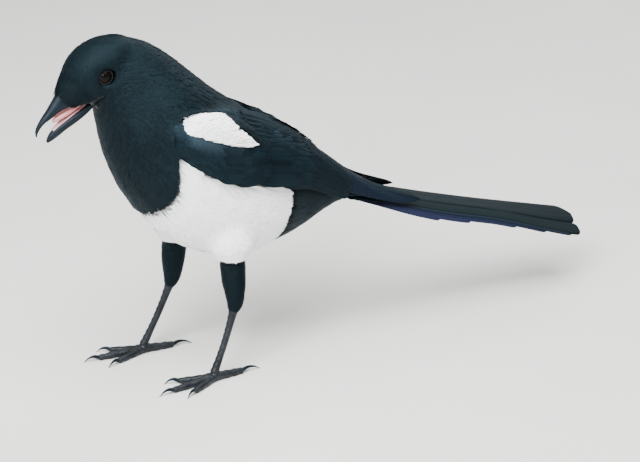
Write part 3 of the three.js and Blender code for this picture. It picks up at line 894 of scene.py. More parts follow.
def wing_at(side, t, p, lift, face=1):
    """A folded wing's outer face at shares t along it and p across it, from -1 below to 1 above.

    The middle between its edges, plus p times half their distance, plus a bow of
    bulge times (1 - p squared) and an elliptic thickness, both fading to the tip.
    The inner face, where face is -1, has the same bow with its own thickness inwards.
    """
    edges = []
    for rows in (WING_LOWER, WING_UPPER):
        edge = rows_at(rows, t)
        edge[..., 2] += WING_TIP_LIFT[side] * smoothstep(edge[..., 0], *WING_TIP_X)
        edge[..., 1] *= side
        edges.append(edge)
    low, high = edges
    across = unit(high - low)
    half = np.linalg.norm(high - low, axis=-1) / 2
    out = unit(np.cross(across, np.array([1.0, 0, -0.3])))
    out *= np.sign(out[..., 1:2]) * side
    arm = 1 - smoothstep(t, 0.45, 0.95)
    bulge = WING_BULGE * arm * smoothstep(t, -0.1, 0.12)
    thickness = mix(WING_TIP, WING_OUTER if face > 0 else WING_INNER, arm)
    height = bulge * (1 - p**2) + face * (thickness * np.sqrt(np.maximum(1 - p**2, 0)) + lift)
    return (low + high) / 2 + across * (half * p)[..., None] + out * height[..., None]


def wing_normal(side, t, p, face=1):
    """Outward normals of a face, from its slopes along and across."""
    nearby = 0.01
    t = np.clip(t, nearby, 1 - nearby)
    along = wing_at(side, t + nearby, p, 0, face) - wing_at(side, t - nearby, p, 0, face)
    q = np.clip(p, -0.93, 0.93)
    across = wing_at(side, t, q + nearby, 0, face) - wing_at(side, t, q - nearby, 0, face)
    return unit(np.cross(along, across)) * -side * face


def wing_lines(side, start, end, low, high, shares, face=1):
    """Centre lines from start to end, each (t, p), rising from the lift low to high."""
    t = mix(start[0][:, None], end[0][:, None], shares)
    p = mix(start[1][:, None], end[1][:, None], shares)
    lift = mix(np.asarray(low)[..., None], np.asarray(high)[..., None], shares) + 0 * t
    return wing_at(side, t, p, lift, face), wing_normal(side, t, p, face)


SHAFT_HEIGHT, SHAFT_WIDTH, BLADE_CAMBER = 0.4, 0.55, 0.1


def blades(name, spine, normal, webs, rng, thickness, columns=11, edge=None, tip=1.0, point=0.5):
    """Large feathers as thin closed vanes with a raised shaft, one mesh for all.

    At row u and column v the upper face is the centre line plus v times the web's width
    sideways, less a camber of v squared, plus a narrow bell-shaped ridge over the shaft.
    The lower face lies the thickness below it, and the two meet round the rim. The webs are
    the widths to the left and to the right of the shafts. The tip closes over that many
    times the wider one, more pointed for a larger point.
    """
    left, right = webs
    count, rows = spine.shape[:2]
    v = np.linspace(-1, 1, columns)
    v = np.sign(v) * np.abs(v) ** 1.3
    step = np.linalg.norm(np.diff(spine, axis=1), axis=2)
    run = np.concatenate([np.zeros((count, 1)), np.cumsum(step, 1)], 1)
    whole = run[:, -1:]
    widest = np.maximum(left, right)[:, None] * tip
    to_tip = np.clip((whole - run) / widest, 0.0, 1)
    width = np.maximum(1 - (1 - to_tip) ** 2, 0.02) ** point * mix(0.45, 1, smoothstep(run / whole, 0, 0.35))
    web = np.where(v < 0, left[:, None], right[:, None])
    reach = width[:, :, None] * (web * v)[:, None, :]
    ahead = unit(np.gradient(spine, axis=1))
    side = unit(np.cross(normal, ahead))
    shaft = SHAFT_HEIGHT * np.exp(-((reach / SHAFT_WIDTH) ** 2)) * mix(1, 0.3, run / whole)[:, :, None]
    height = shaft - BLADE_CAMBER * np.abs(v) ** 2 * np.abs(reach)
    top = spine[:, :, None] + side[:, :, None] * reach[..., None] + normal[:, :, None] * height[..., None]
    under = thickness * (1 - 0.6 * v**4)
    bottom = top - normal[:, :, None] * under[..., None]
    points = np.stack([top, bottom], 1)
    face = grid_faces(rows, columns)
    layer = rows * columns
    index = np.arange(layer).reshape(rows, columns)
    rim = np.concatenate([index[0, :-1], index[:-1, -1], index[-1, :0:-1], index[:0:-1, 0]])
    after = np.roll(rim, -1)
    walls = np.stack([rim, rim + layer, after + layer, after], 1)
    template = np.concatenate([face, face[:, ::-1] + layer, walls])
    faces = template[None] + (np.arange(count) * 2 * layer)[:, None, None]
    mesh = mesh_of(name, points, [faces.reshape(-1, 4)])

    def spread(values):
        """The same values on all the points that share them."""
        return np.broadcast_to(values, points.shape[:-1])

    along = spread(run[:, None, :, None])
    uv_map(mesh, "Vane", np.stack([spread(reach[:, None]), along], -1))
    home = unwrap(spine[:, 0])[:, None, None, None, :]
    face = np.arange(2)[:, None, None]
    patch = np.stack([spread((run / whole)[:, None, :, None]), spread((0.5 + 0.49 * v + face) / 2)], -1)
    uv_map(mesh, "OFBake", home + PATCH * patch)
    shade = spread(rng.random(count)[:, None, None, None])
    edge = np.zeros(count) if edge is None else edge
    edge = smoothstep(v * np.sign(edge[:, None]), 0.1, 0.75) * np.abs(edge[:, None])
    # painted shade: the first 25 mm of each feather darker, where the feathers over it would shade it, kept
    # in the value "along"
    painted_root_shade = mix(0.35, 1, np.clip(along / 25, 0, 1))
    point_values(mesh, shade=shade, along=painted_root_shade, edge=spread(edge[:, None, None, :]))
    return mesh


SHOULDER_SPACING, SHOULDER_SHORTEST, SHOULDER_HEADING = 0.95, 2.5, (0.93, 0, -0.36)
MANTLE_SPACING, MANTLE_SHORTEST, MANTLE_Y = 1.3, 3, 9
MANTLE_X = (-106, -25)
MANTLE_BAND = (-7, 5)  # heights over the wing's upper edge
MANTLE_OUTWARDS = 0.22


def build_shoulders(colours, rng):
    """The white feathers over each shoulder, whose tips make the patch's outline."""
    places, triangles, field, wing_field = plumage_form()
    roots = scatter(places, triangles, spaced(SHOULDER_SPACING), rng)
    _, normal = field.at(roots)
    for name, side in SIDES.items():
        p = roots[(roots[:, 1] * side > SHOULDER_Y) & (normal[:, 2] > -0.2)]
        heading = unit(np.array([SHOULDER_HEADING]) + 0 * p)
        longest = size("shoulder_feather") * rng.uniform(0.8, 1.2, len(p))
        length = trimmed(p, heading, longest, shoulder_patch)
        inside = (length > SHOULDER_SHORTEST) & shoulder_patch(p)
        p, heading, length = p[inside], heading[inside], length[inside]
        over_wing = smoothstep(wing_field.held(p + heading * length[:, None]), 0.0, 3.0)
        spine, up = feather_lines(p, length, 6, -0.4, 0.7 + 1.5 * over_wing, field, heading)
        half = (0.13 * length + 0.35) * rng.uniform(0.9, 1.1, len(p))
        mesh = vanes(f"scapulars_white_{name}", spine, up, half, rng, columns=5, ragged=0.12, camber=0.12)
        piece(f"scapulars_white_{name}", mesh, colours["white"], (f"scapulars_{name}",))


def build_mantle_edge(colours, rng):
    """Black feathers that lie from the back over the upper edge of each wing, clear of the white."""
    places, triangles, field, _ = plumage_form()
    roots = scatter(places, triangles, spaced(MANTLE_SPACING), rng)
    _, normal = field.at(roots)
    edge = np.array(WING_UPPER)
    over = roots[:, 2] - np.interp(roots[:, 0], edge[:, 0], edge[:, 2])
    chosen = (normal[:, 2] > 0) & (np.abs(roots[:, 1]) > MANTLE_Y) & ~shoulder_patch(roots)
    for value, (low, high) in ((over, MANTLE_BAND), (roots[:, 0], MANTLE_X)):
        chosen &= (value > low) & (value < high)
    p, normal = roots[chosen], normal[chosen]
    outwards = np.stack([0 * p[:, 0], np.sign(p[:, 1]), 0 * p[:, 0]], 1)
    heading = unit(lie(p, normal) + MANTLE_OUTWARDS * outwards)
    longest = size("body_feather") * rng.uniform(0.8, 1.1, len(p))
    length = trimmed(p, heading, longest, lambda tips: ~shoulder_patch(tips))
    kept = length > MANTLE_SHORTEST
    p, heading, length = p[kept], heading[kept], length[kept]
    spine, up = feather_lines(p, length, 6, -0.6, rng.uniform(0.9, 1.35, len(p)), field, heading)
    mesh = vanes("mantle_edge", spine, up, 0.12 * length + 0.3, rng, columns=5, ragged=0.2, camber=0.12)
    piece("mantle_edge", mesh, colours["sheen"])


def lattice(rows, columns, rng, t_range, p_range):
    """Places of overlapping rows of feathers: every second row is shifted by half a feather."""
    i, j = np.meshgrid(np.arange(rows), np.arange(columns), indexing="ij")
    astray = rng.uniform(-0.2, 0.2, i.shape) * (t_range[1] - t_range[0]) / rows
    t = mix(*t_range, (i + 0.5) / rows) + astray
    p = mix(*p_range, (j + 0.25 + 0.5 * (i % 2)) / columns) + rng.uniform(-0.12, 0.12, i.shape) / columns
    return t.ravel(), p.ravel()


def build_wing_core(name, side, colours):
    """The dark core that fills a folded wing: rings between its two faces."""
    t = np.linspace(0.004, 0.86, 40)[:, None]
    angle = np.linspace(0, 2 * pi, 32, endpoint=False)[None, :]
    slim = mix(1, 0.5, smoothstep(t, 0.6, 0.86))
    p = np.cos(angle) * 0.93 * slim
    outer = wing_at(side, t + 0 * angle, p, WING_CORE_LIFT)
    inner = wing_at(side, t + 0 * angle, p, WING_CORE_LIFT, -1)
    rings = np.where((np.sin(angle) > 0)[..., None], outer, inner)
    core = mesh_of(f"wing_core_{name}", *tube(rings))
    point_values(core, shade=np.full(len(core.vertices), 0.4), along=np.full(len(core.vertices), 0.6))
    uv_map(core, "Vane", np.zeros((len(core.vertices), 2)))
    uv_map(core, "OFBake", unwrap(arrays_of(core)[0]))
    nodes = f"wing_{name}", f"primaries_{name}"
    piece(f"wing_core_{name}", core, colours["black"], nodes)


def build_flight_feathers(name, side, colours, rng):
    """Ten primaries and twelve secondaries, stacked from the lowest outwards."""
    shares = 1 - (1 - np.linspace(0, 1, 22)) ** 1.5
    count = 10
    k = np.arange(count) / (count - 1)
    start = (np.full(count, 0.36), mix(0.6, -0.78, k))
    end = (mix(0.74, 0.995, np.sin(k * pi / 2 * 0.9) ** 0.8), mix(0.8, -0.1, k**0.7))
    spine, up = wing_lines(side, start, end, mix(0.7, 0.0, k), mix(0.4, -0.2, k), shares)
    webs = mix(5.2, 4.0, k), mix(5.5, 4.6, k)
    mesh = blades(f"primary_feathers_{name}", spine, up, webs[::side], rng,
                  size("flight_thickness") * 0.85, edge=np.full(count, 0.3 * side), tip=4, point=0.8)
    piece(f"primary_feathers_{name}", mesh, colours["flight"])

    count = 12
    k = np.arange(count) / (count - 1)
    start = (np.full(count, 0.3), mix(0.82, -0.72, k))
    end = (mix(0.55, 0.68, smoothstep(k, 0, 0.5)) - 0.03 * smoothstep(k, 0.6, 1), mix(0.62, -0.78, k**0.9))
    spine, up = wing_lines(side, start, end, mix(1.8, 0.7, k), mix(1.7, 0.6, k), shares)
    web = mix(8.0, 5.5, smoothstep(k, 0, 0.4)) * 0.9
    mesh = blades(f"secondary_feathers_{name}", spine, up, (web, web), rng, size("flight_thickness"))
    piece(f"secondary_feathers_{name}", mesh, colours["flight"])


WING_COVERTS = (  # rows, columns, t and p ranges, length, half width, lift at root and tip, face
    (3, 17, (0.27, 0.38), (-0.92, 0.9), 27, 4.4, 0.6, 2.0, 1),
    (4, 19, (0.15, 0.27), (-0.95, 0.93), 18, 3.4, 0.4, 1.7, 1),
    (14, 26, (-0.01, 0.16), (-0.97, 0.95), 9, 1.9, 0.1, 0.9, 1),
    (26, 14, (0.0, 0.5), (0.1, 0.97), 14, 2.6, 0.0, 0.9, -1),
    (18, 10, (0.5, 0.78), (-0.9, 0.9), 12, 1.9, 0.0, 0.5, -1),
)


def build_wing_coverts(name, side, colours, rng):
    """Rows of overlapping coverts on both faces, with a painted sheen, a lighter colour, at the front of the
    outer one.
    """
    lines, ups, halves, homes, painted_sheens = [], [], [], [], []
    for rows, columns, t_range, p_range, length, half, low, high, face in WING_COVERTS:
        t, p = lattice(rows, columns, rng, t_range, p_range)
        reach = length * rng.uniform(0.9, 1.1, len(t)) / WING_LENGTH
        end = (np.minimum(t + reach, 0.97), p * mix(0.97, 0.9, t))
        low, high = low + 0 * t, high + 0 * t
        spine, up = wing_lines(side, (t, p), end, low, high, np.linspace(0, 1, 7), face)
        lines.append(spine)
        ups.append(up)
        halves.append(half * rng.uniform(0.9, 1.1, len(t)))
        homes.append(np.stack([0.02 + 0.9 * t, 0.5 + 0.45 * p], 1))
        # painted sheen: a lighter patch of colour on the outer coverts at the front of the wing, below the
        # shoulder patch
        across = smoothstep(p, -0.5, 0.0) * smoothstep(p, 0.7, 0.35)
        painted_sheens.append(smoothstep(t, 0.0, 0.06) * smoothstep(t, 0.22, 0.1) * across * (face > 0))
    lines, ups, halves, homes, painted_sheen = map(np.concatenate, (lines, ups, halves, homes, painted_sheens))
    mesh = vanes(f"wing_coverts_{name}", lines, ups, halves, rng, 7, ragged=0.08, camber=0.16, root=homes)
    # the painted sheen goes into the coverts' value "edge"
    point_values(mesh, edge=np.repeat(painted_sheen, len(mesh.vertices) // len(painted_sheen)))
    piece(f"wing_coverts_{name}", mesh, colours["wing"])


# Pieces: the tail

TAIL_ROOT = (-7.5, 0, 98.5)
TAIL_DROP = radians(16.5)
TAIL_ALONG = np.array([cos(TAIL_DROP), 0, -sin(TAIL_DROP)])
TAIL_UP = np.array([sin(TAIL_DROP), 0, cos(TAIL_DROP)])
TAIL_LENGTHS = (194.6, 187, 167, 144, 108, 84)
TAIL_ROOF = np.tan(radians(13))
TAIL_INNERMOST, TAIL_STEP, TAIL_SHIFT = 4.5, 1.3, 2.6  # how far out the feathers lie, by their order
TAIL_LAYER, TAIL_SAG = 0.6, 1.5
TAIL_SPLAY = {LEFT: 6, RIGHT: -2.5}  # how far the tips of each half swing out
TAIL_DIP = {LEFT: 2.5, RIGHT: 1.7}  # and down
TAIL_TOP_RISE = 1.4  # how far the uppermost feather, the longest right one, lies above the left one
TAIL_TOP_EXTRA = 3.0  # how much longer it is
TAIL_TOP_LEAN = -0.06  # how it leans to the left
TAIL_TIP_LEAN = (-0.25, -0.1)  # how the tips of the right half lean: the uppermost one and the others


def tail_line(side, order, share):
    """The middle of one tail feather at shares of its own length, and which way is up there."""
    topmost = order == 0 and side == RIGHT
    length = TAIL_LENGTHS[order] + TAIL_TOP_EXTRA * topmost
    reach = length * share
    part = reach / TAIL_LENGTHS[0]
    opening = mix(0.35, 1, smoothstep(part, 0, 0.35))
    parting = smoothstep(part, 0.6, 1)
    shift = TAIL_SHIFT if order > 0 else 0
    out = (TAIL_INNERMOST + TAIL_STEP * order + shift) * opening + TAIL_SPLAY[side] * parting
    roof = TAIL_ROOF * smoothstep(part, 0, 0.5)
    flat = smoothstep(part, 0.02, 0.35) * topmost
    drop = out * roof + TAIL_LAYER * order + TAIL_SAG * np.sin(pi * part)
    drop = drop + TAIL_DIP[side] * parting - TAIL_TOP_RISE * flat
    line = np.array(TAIL_ROOT) + reach[:, None] * TAIL_ALONG - drop[:, None] * TAIL_UP
    line[:, 1] += side * out
    lean = mix(side * roof, TAIL_TOP_LEAN, flat)
    if side == RIGHT:
        lean = mix(lean, TAIL_TIP_LEAN[order > 0], parting)
    up = TAIL_UP + np.stack([0 * lean, lean, 0 * lean], 1)
    return line, unit(up)


TAIL_COVERTS = (  # face, count, shortest and longest, heights at the root and further out
    (1, 46, (26, 52), (2.4, 1.6)),
    (-1, 60, (24, 62), (-7.5, -3.4)),
)
COVERT_ROOF = 0.28


def build_tail(colours, rng):
    """Twelve long feathers in a closed fan, with the coverts over and under their roots."""
    share = 1 - (1 - np.linspace(0, 1, 40)) ** 1.8
    lines, ups, webs, edges = [], [], [], []
    for order in range(len(TAIL_LENGTHS)):
        for side in (LEFT, RIGHT):
            line, up = tail_line(side, order, share)
            lines.append(line)
            ups.append(up)
            away, towards = (0.76, 1.0) if order > 0 else (0.98, 0.95 if side == RIGHT else 0.6)
            webs.append((away, towards)[::-side])
            edges.append(side * min(1, order / 3))
    webs = np.array(webs).T * size("tail_half_width")
    mesh = blades("tail_feathers", np.stack(lines), np.stack(ups), webs, rng,
                  size("tail_thickness"), 15, np.array(edges), tip=0.6)
    piece("tail_feathers", mesh, colours["tail"], ("tail",))
    lines, ups, halves, homes = [], [], [], []
    for face, count, lengths, heights in TAIL_COVERTS:
        start = rng.uniform(-16, 14, count)
        angle = rng.uniform(-1, 1, count)
        length = mix(*lengths, rng.random(count)) * (1 - 0.35 * np.abs(angle))
        u = np.linspace(0, 1, 8)
        reach = start[:, None] + length[:, None] * u
        width = mix(15, 9, np.clip((reach + 16) / 70, 0, 1))
        out = width * angle[:, None]
        rise = mix(*heights, np.clip((reach + 10) / 50, 0, 1)) - face * np.abs(out) * COVERT_ROOF
        rise = rise + face * (u * 0.9 - 0.3)
        base = np.array(TAIL_ROOT) + reach[..., None] * TAIL_ALONG + rise[..., None] * TAIL_UP
        base[..., 1] += out
        up = unit(face * TAIL_UP + np.stack([0 * out, np.sign(out) * COVERT_ROOF, 0 * out], -1))
        lines.append(base)
        ups.append(up)
        halves.append(rng.uniform(3.4, 4.6, count))
        homes.append(np.stack([0.05 + (start + 16) / 40, 0.5 + face * (0.2 + 0.1 * angle)], 1))
    lines, ups, halves, homes = map(np.concatenate, (lines, ups, halves, homes))
    mesh = vanes("tail_coverts", lines, ups, halves, rng, columns=7, ragged=0.12, camber=0.15, root=homes)
    piece("tail_coverts", mesh, colours["sheen"])


# Pieces: the bill, the mouth and the eyes

UPPER_MANDIBLE = [  # along the bill, half width, top and bottom
    (9, 4.6, 3, -7.6), (17, 5.3, 6.4, -5.5), (23, 4.8, 7.5, -2.9), (28, 3.9, 6.5, -0.8),
    (33.5, 3.0, 5.3, 0.6), (38, 2.3, 4.6, 1.4), (42, 1.6, 3.8, 1.4), (45.5, 0.9, 2.4, 0.3),
    (47.6, 0.35, 0, -1.1),
]
LOWER_MANDIBLE = [
    (9, 4.6, -8.7, -13.6), (17, 5.0, -8.2, -13.8), (25, 4.1, -7.0, -13.0), (33.5, 3.0, -5.6, -11.0),
    (39, 2.1, -5.1, -10.1), (43, 1.3, -5.5, -9.2), (45.8, 0.5, -6.8, -8.2),
]
TONGUE = [
    (13.5, 1.6, -7.0, -8.2), (18, 2.5, -5.6, -7.8), (24, 2.9, -3.4, -6.8), (30, 2.6, -1.4, -5.2),
    (34, 1.5, -1.0, -3.6), (35.6, 0.4, -1.6, -2.6),
]
LININGS = (  # mandible, column of its facing side, share of the width, top and bottom from that side
    (UPPER_MANDIBLE, 3, 0.72, 0.5, -0.35),
    (LOWER_MANDIBLE, 2, 0.74, 0.35, -0.5),
)
LINING_END = 40


def bill_rings(rows, shoulder, steps=56, sides=40):
    """Rings across a mandible: half ovals above and below its shoulder, where it is widest."""
    t = np.linspace(0, 1, steps)
    along, width, top, bottom = rows_at(rows, t).T[..., None]
    angle = np.linspace(0, 2 * pi, sides, endpoint=False)
    middle = mix(bottom, top, shoulder)
    rise = np.sin(angle)
    reach = np.where(rise > 0, top - middle, middle - bottom)
    return from_head(along + 0 * angle, width * np.cos(angle), middle + reach * rise)


def horn(name, dark, pale, roughness):
    """Horn: a faint fine grain, and paler worn patches in soft clouds."""
    finish = Finish(name)
    streak = finish.noise(260, 4)
    cloud = finish.ramp(finish.noise(70), 0.3, 0.75)
    share = finish.math("ADD", finish.math("MULTIPLY", streak, 0.35), finish.math("MULTIPLY", cloud, 0.65))
    finish.bump(streak, 0.25, SKIN_BUMP)
    finish.set(Base_Color=finish.blend(share, dark, pale), Roughness=roughness)
    finish.set(Specular_IOR_Level=0.17, Specular_Tint=GLOSS_TINT)
    return finish.material


def wet(name, dark, pale):
    """Moist skin of the mouth."""
    finish = Finish(name)
    grain = finish.noise(380, 4)
    finish.bump(grain, 0.4, SKIN_BUMP)
    cloud = finish.ramp(finish.noise(90), 0.3, 0.7)
    finish.set(Base_Color=finish.blend(cloud, dark, pale), Roughness=0.3, Subsurface_Weight=0.15)
    return finish.material


BRISTLE_SPACING, BRISTLE_HALF = 0.75, 0.26


def build_bristles(colours, rng):
    """The stiff feathers that lie forwards from the forehead over the base of the bill."""
    places, triangles, field, _ = plumage_form()
    roots = scatter(places, triangles, spaced(BRISTLE_SPACING), rng)
    along, _, above = to_head(roots)
    _, normal = field.at(roots)
    chosen = (along > 11) & (along < 17.5) & (above > -3) & ((normal * HEAD_AXIS).sum(1) > -0.5)
    p = roots[chosen]
    heading = unit(HEAD_AXIS + np.stack([0 * p[:, 0], -0.03 * p[:, 1], 0 * p[:, 0]], 1))
    length = size("bristle") * rng.uniform(0.75, 1.25, len(p))
    spine, up = feather_lines(p, length, 7, -0.2, rng.uniform(0.1, 0.45, len(p)), field, heading)
    along, _, above = to_head(spine)
    tomium = np.array(UPPER_MANDIBLE)
    outside = (above > np.interp(along, tomium[:, 0], tomium[:, 3]) + 0.9).all(1)
    laid = unfolded(spine, length) & outside
    half = np.full(laid.sum(), BRISTLE_HALF)
    mesh = vanes("bristles", spine[laid], up[laid], half, rng, columns=3, ragged=0.25, camber=0.1)
    piece("bristles", mesh, colours["black"])


def build_bill():
    """Both mandibles, the tongue and the lining of the mouth."""
    bill = horn("bill_horn", paint("bill_dark"), paint("bill_worn"), 0.44)
    for name, rows, shoulder in (("upper", UPPER_MANDIBLE, 0.25), ("lower", LOWER_MANDIBLE, 0.7)):
        mesh = mesh_of(f"mandible_{name}", *tube(bill_rings(rows, shoulder)))
        piece(f"mandible_{name}", mesh, bill, (f"bill_{name}",))
    pink = wet("mouth_pink", paint("mouth_dark"), paint("mouth_pink"))
    mesh = mesh_of("tongue_flesh", *tube(bill_rings(TONGUE, 0.5)))
    piece("tongue_flesh", mesh, pink, ("tongue",))
    lining = []
    for rows, facing, share, top, bottom in LININGS:
        edge = np.array([row for row in rows if row[0] < LINING_END], float)
        level = edge[:, facing]
        rows = np.stack([edge[:, 0], edge[:, 1] * share, level + top, level + bottom], 1)
        lining.append(tube(bill_rings(rows, 0.5)))
    mesh = mesh_of("mouth_lining", *joined(lining))
    piece("mouth_lining", mesh, pink)


PUPIL, EYE_RIM = (0.002, 0.002, 0.002), (0.004, 0.003, 0.003)
LID_DARK, LID_PALE = (0.002, 0.003, 0.0035), (0.008, 0.0105, 0.0125)


def round_eye(name, side, angle, radius, turn):
    """Points round an eye: an angle from its outward axis, a radius, and a turn about that axis."""
    flat = np.sin(angle) * radius
    points = EYE_MIDDLES[name] + (np.cos(angle) * radius)[..., None] * np.array([0, side, 0.0])
    points = points + (flat * np.cos(turn))[..., None] * HEAD_AXIS
    return points + (flat * np.sin(turn))[..., None] * HEAD_UP


def eye_finish(name):
    """The eye's colours by distance from its axis: pupil, brown iris and dark rim."""
    finish = Finish(f"eye_{name}")
    middle = tuple(EYE_MIDDLES[name] * MM)
    offset = finish.node("ShaderNodeVectorMath", {0: finish.place(), 1: middle}, operation="SUBTRACT")
    apart = finish.node("ShaderNodeSeparateXYZ", {0: offset.outputs[0]})
    flatwise = finish.node("ShaderNodeCombineXYZ", {0: apart.outputs[0], 2: apart.outputs[2]})
    away = finish.node("ShaderNodeVectorMath", {0: flatwise.outputs[0]}, operation="LENGTH").outputs["Value"]
    iris = finish.blend(finish.noise(900, 2), darker(paint("iris"), 0.4), paint("iris"))
    pupil = finish.ramp(away, 0.0020, 0.0023)
    rim = finish.ramp(away, 0.0036, 0.0042)
    tint = finish.blend(rim, finish.blend(pupil, PUPIL, iris), EYE_RIM)
    finish.set(Base_Color=tint, Roughness=0.05, Specular_IOR_Level=0.07)
    return finish.material


def build_eyes():
    """Glossy dark eyes with a slight bulge over the iris, and a ring of bare lid round each."""
    for name, side in SIDES.items():
        polar = np.linspace(0.02, pi - 0.02, 40)[:, None]
        turn = np.linspace(0, 2 * pi, 48, endpoint=False)[None, :]
        radius = EYE_RADIUS - 0.25 + 0.35 * (1 - smoothstep(polar, 0.15, 0.62)) + 0 * turn
        mesh = mesh_of(f"eyeball_{name}", *tube(round_eye(name, side, polar, radius, turn)))
        piece(f"eyeball_{name}", mesh, eye_finish(name), (f"eye_{name}",))

        turn = np.linspace(0, 2 * pi, 72, endpoint=False)[:, None]
        round_lid = np.linspace(0, 2 * pi, 14, endpoint=False)[None, :]
        brow = 0.5 + 0.5 * np.sin(turn)
        roll = 1 - np.cos(round_lid)
        opening = bpy.context.scene.magpie_sizes.lid_opening + radians(1.5) * np.cos(2 * turn)
        opening = opening - radians(5) * brow * smoothstep(np.sin(turn), -0.2, 1)
        wrinkle = 0.05 * np.sin(26 * turn) * smoothstep(roll, 0.2, 1.5)
        height = EYE_RADIUS - 0.15 + (0.5 + 0.2 * brow + wrinkle) * np.sin(round_lid) - 0.25 * roll
        points = round_eye(name, side, opening + radians(11) * roll, height, turn)
        count, around = points.shape[:2]
        face = grid_faces(count + 1, around, closed=True) % (count * around)
        mesh = mesh_of(f"eyelid_{name}", points, [face[:, ::-side]])
        finish = Finish(f"lid_{name}")
        grain = finish.noise(800, 4)
        finish.bump(grain, 0.6, SKIN_BUMP)
        finish.set(Base_Color=finish.blend(grain, LID_DARK, LID_PALE), Roughness=0.6, Specular_IOR_Level=0.2)
        piece(f"eyelid_{name}", mesh, finish.material)


# Pieces: the legs and feet

LEGS = {
    "left": {"heel": (-74, 25.5, 44), "foot": (-89.5, 28, 5)},
    "right": {"heel": (-89, 25.5, 44.5), "foot": (-107.5, 28, 5)},
}
TOES = {  # turn from straight ahead in degrees, length, radius and claw length
    "hallux": (180, 19, 2.3, 12),
    "inner": (26, 20, 2.0, 8),
    "middle": (2, 28, 2.1, 9),
    "outer": (-24, 21, 2.0, 8),
}
FOOT_TURN = 4
FOOT_BALL = np.array([3.3, 3.2, 3.1])
TARSUS_RADII = [(2.9,), (2.15,), (1.95,), (1.95,), (2.35,)]
TOE_SCALES = {"hallux": 9, "inner": 9, "middle": 13, "outer": 10}
TOE_HEIGHTS = [(2.9,), (2.3,), (1.9,), (1.75,), (1.6,)]
CLAW_HEIGHTS = [(1.9,), (2.9,), (2.3,), (0.25,)]


def limb_rings(line, radius, scales=0, depth=0.0, sides=28):
    """Rings round a line: a round section, with scale edges stepped over its upper face."""
    ahead = unit(np.gradient(line, axis=0))
    across = unit(np.array([0, 1.0, 0]) - ahead[:, 1:2] * ahead)
    up = np.cross(ahead, across)
    up *= np.where(up[:, 2:3].mean() < 0, -1, 1)
    angle = np.linspace(0, 2 * pi, sides, endpoint=False)
    step = np.linalg.norm(np.diff(line, axis=0), axis=1)
    run = np.concatenate([[0], np.cumsum(step)]) / step.sum()
    saw = (run * scales) % 1.0
    edge = depth * smoothstep(saw, 0.0, 0.85) * (1 - smoothstep(saw, 0.88, 1.0))
    over = smoothstep(np.sin(angle), -0.35, 0.5)
    reach = radius[:, None] * (1 + 0 * angle) + edge[:, None] * over
    points = line[:, None] + across[:, None] * (reach * np.cos(angle))[..., None]
    return points + up[:, None] * (reach * np.sin(angle))[..., None]


def on_floor(rings):
    """Flattens what would reach below the floor."""
    rings[..., 2] = np.maximum(rings[..., 2], 0.0)
    return rings


def build_leg(name, side, skins):
    """The scaled shank, four toes with pads and scales, and their claws."""
    heel, foot = (np.array(LEGS[name][part]) * (1, side, 1) for part in ("heel", "foot"))
    t = np.linspace(-0.1, 1.0, 150)
    line = heel + (foot - heel) * t[:, None]
    line[:, 0] += 0.9 * np.sin(pi * np.clip(t, 0, 1))
    radius = rows_at(TARSUS_RADII, np.clip(t, 0, 1))[:, 0]
    rings = limb_rings(line, radius, 13, size("scale_depth"), 32)
    mesh = mesh_of(f"shank_{name}", *tube(rings))
    piece(f"shank_{name}", mesh, skins["leg"], (f"tarsus_{name}",))
    base = foot * (1, 1, 0)
    toes, claws = [], []
    for toe, (turn, length, thick, claw) in TOES.items():
        angle = radians(turn + FOOT_TURN)
        heading = np.array([-cos(angle), side * sin(angle), 0])
        u = np.linspace(0, 1, 60)
        pads = 0.12 * thick * np.sin(pi * u * 3.5) ** 2
        radius = thick * mix(1.08, 0.8, u) + pads
        line = base + heading * (length * u)[:, None]
        line[:, 2] = rows_at(TOE_HEIGHTS, u)[:, 0]
        rounded = np.sqrt(np.maximum(1 - np.clip((u - 0.93) / 0.07, 0, 1) ** 2, 0.05))
        rings = limb_rings(line, radius * rounded, TOE_SCALES[toe], 0.75 * size("scale_depth"))
        toes.append(tube(on_floor(rings)))
        u = np.linspace(0, 1, 36)
        line = base + heading * mix(length - 0.6, length + claw, u)[:, None]
        line[:, 2] = rows_at(CLAW_HEIGHTS, u)[:, 0]
        claws.append(tube(on_floor(limb_rings(line, mix(1.25, 0.12, u**1.15), sides=20))))
    ball = np.linspace(0.05, pi - 0.05, 24)[:, None]
    turn = np.linspace(0, 2 * pi, 32, endpoint=False)[None, :]
    round_foot = [np.sin(ball) * np.cos(turn), np.sin(ball) * np.sin(turn), np.cos(ball) + 0 * turn]
    toes.append(tube(on_floor(base + FOOT_BALL * ((0, 0, 1) + np.stack(round_foot, -1)))))
    mesh = mesh_of(f"toes_{name}", *joined(toes))
    piece(f"toes_{name}", mesh, skins["leg"], (f"foot_{name}",))
    mesh = mesh_of(f"claws_{name}", *joined(claws))
    piece(f"claws_{name}", mesh, skins["claw"], [f"claw_{toe}_{name}" for toe in TOES])


def build_legs():
    """The skin of the legs and the horn of the claws, and both legs."""
    finish = Finish("leg_scales")
    cells = finish.node("ShaderNodeTexVoronoi", {"Vector": finish.place(), "Scale": 1400.0})
    cells = cells.outputs["Distance"]
    cloud = finish.ramp(finish.noise(150), 0.3, 0.7)
    finish.bump(cells, 0.35, SKIN_BUMP)
    tint = finish.blend(cloud, paint("leg_dark"), paint("leg_worn"))
    finish.set(Base_Color=tint, Roughness=0.48, Specular_IOR_Level=0.2)
    skins = {"leg": finish.material, "claw": horn("claw_horn", paint("bill_dark"), paint("bill_worn"), 0.35)}
    for name, side in SIDES.items():
        build_leg(name, side, skins)


# Pieces: the stage

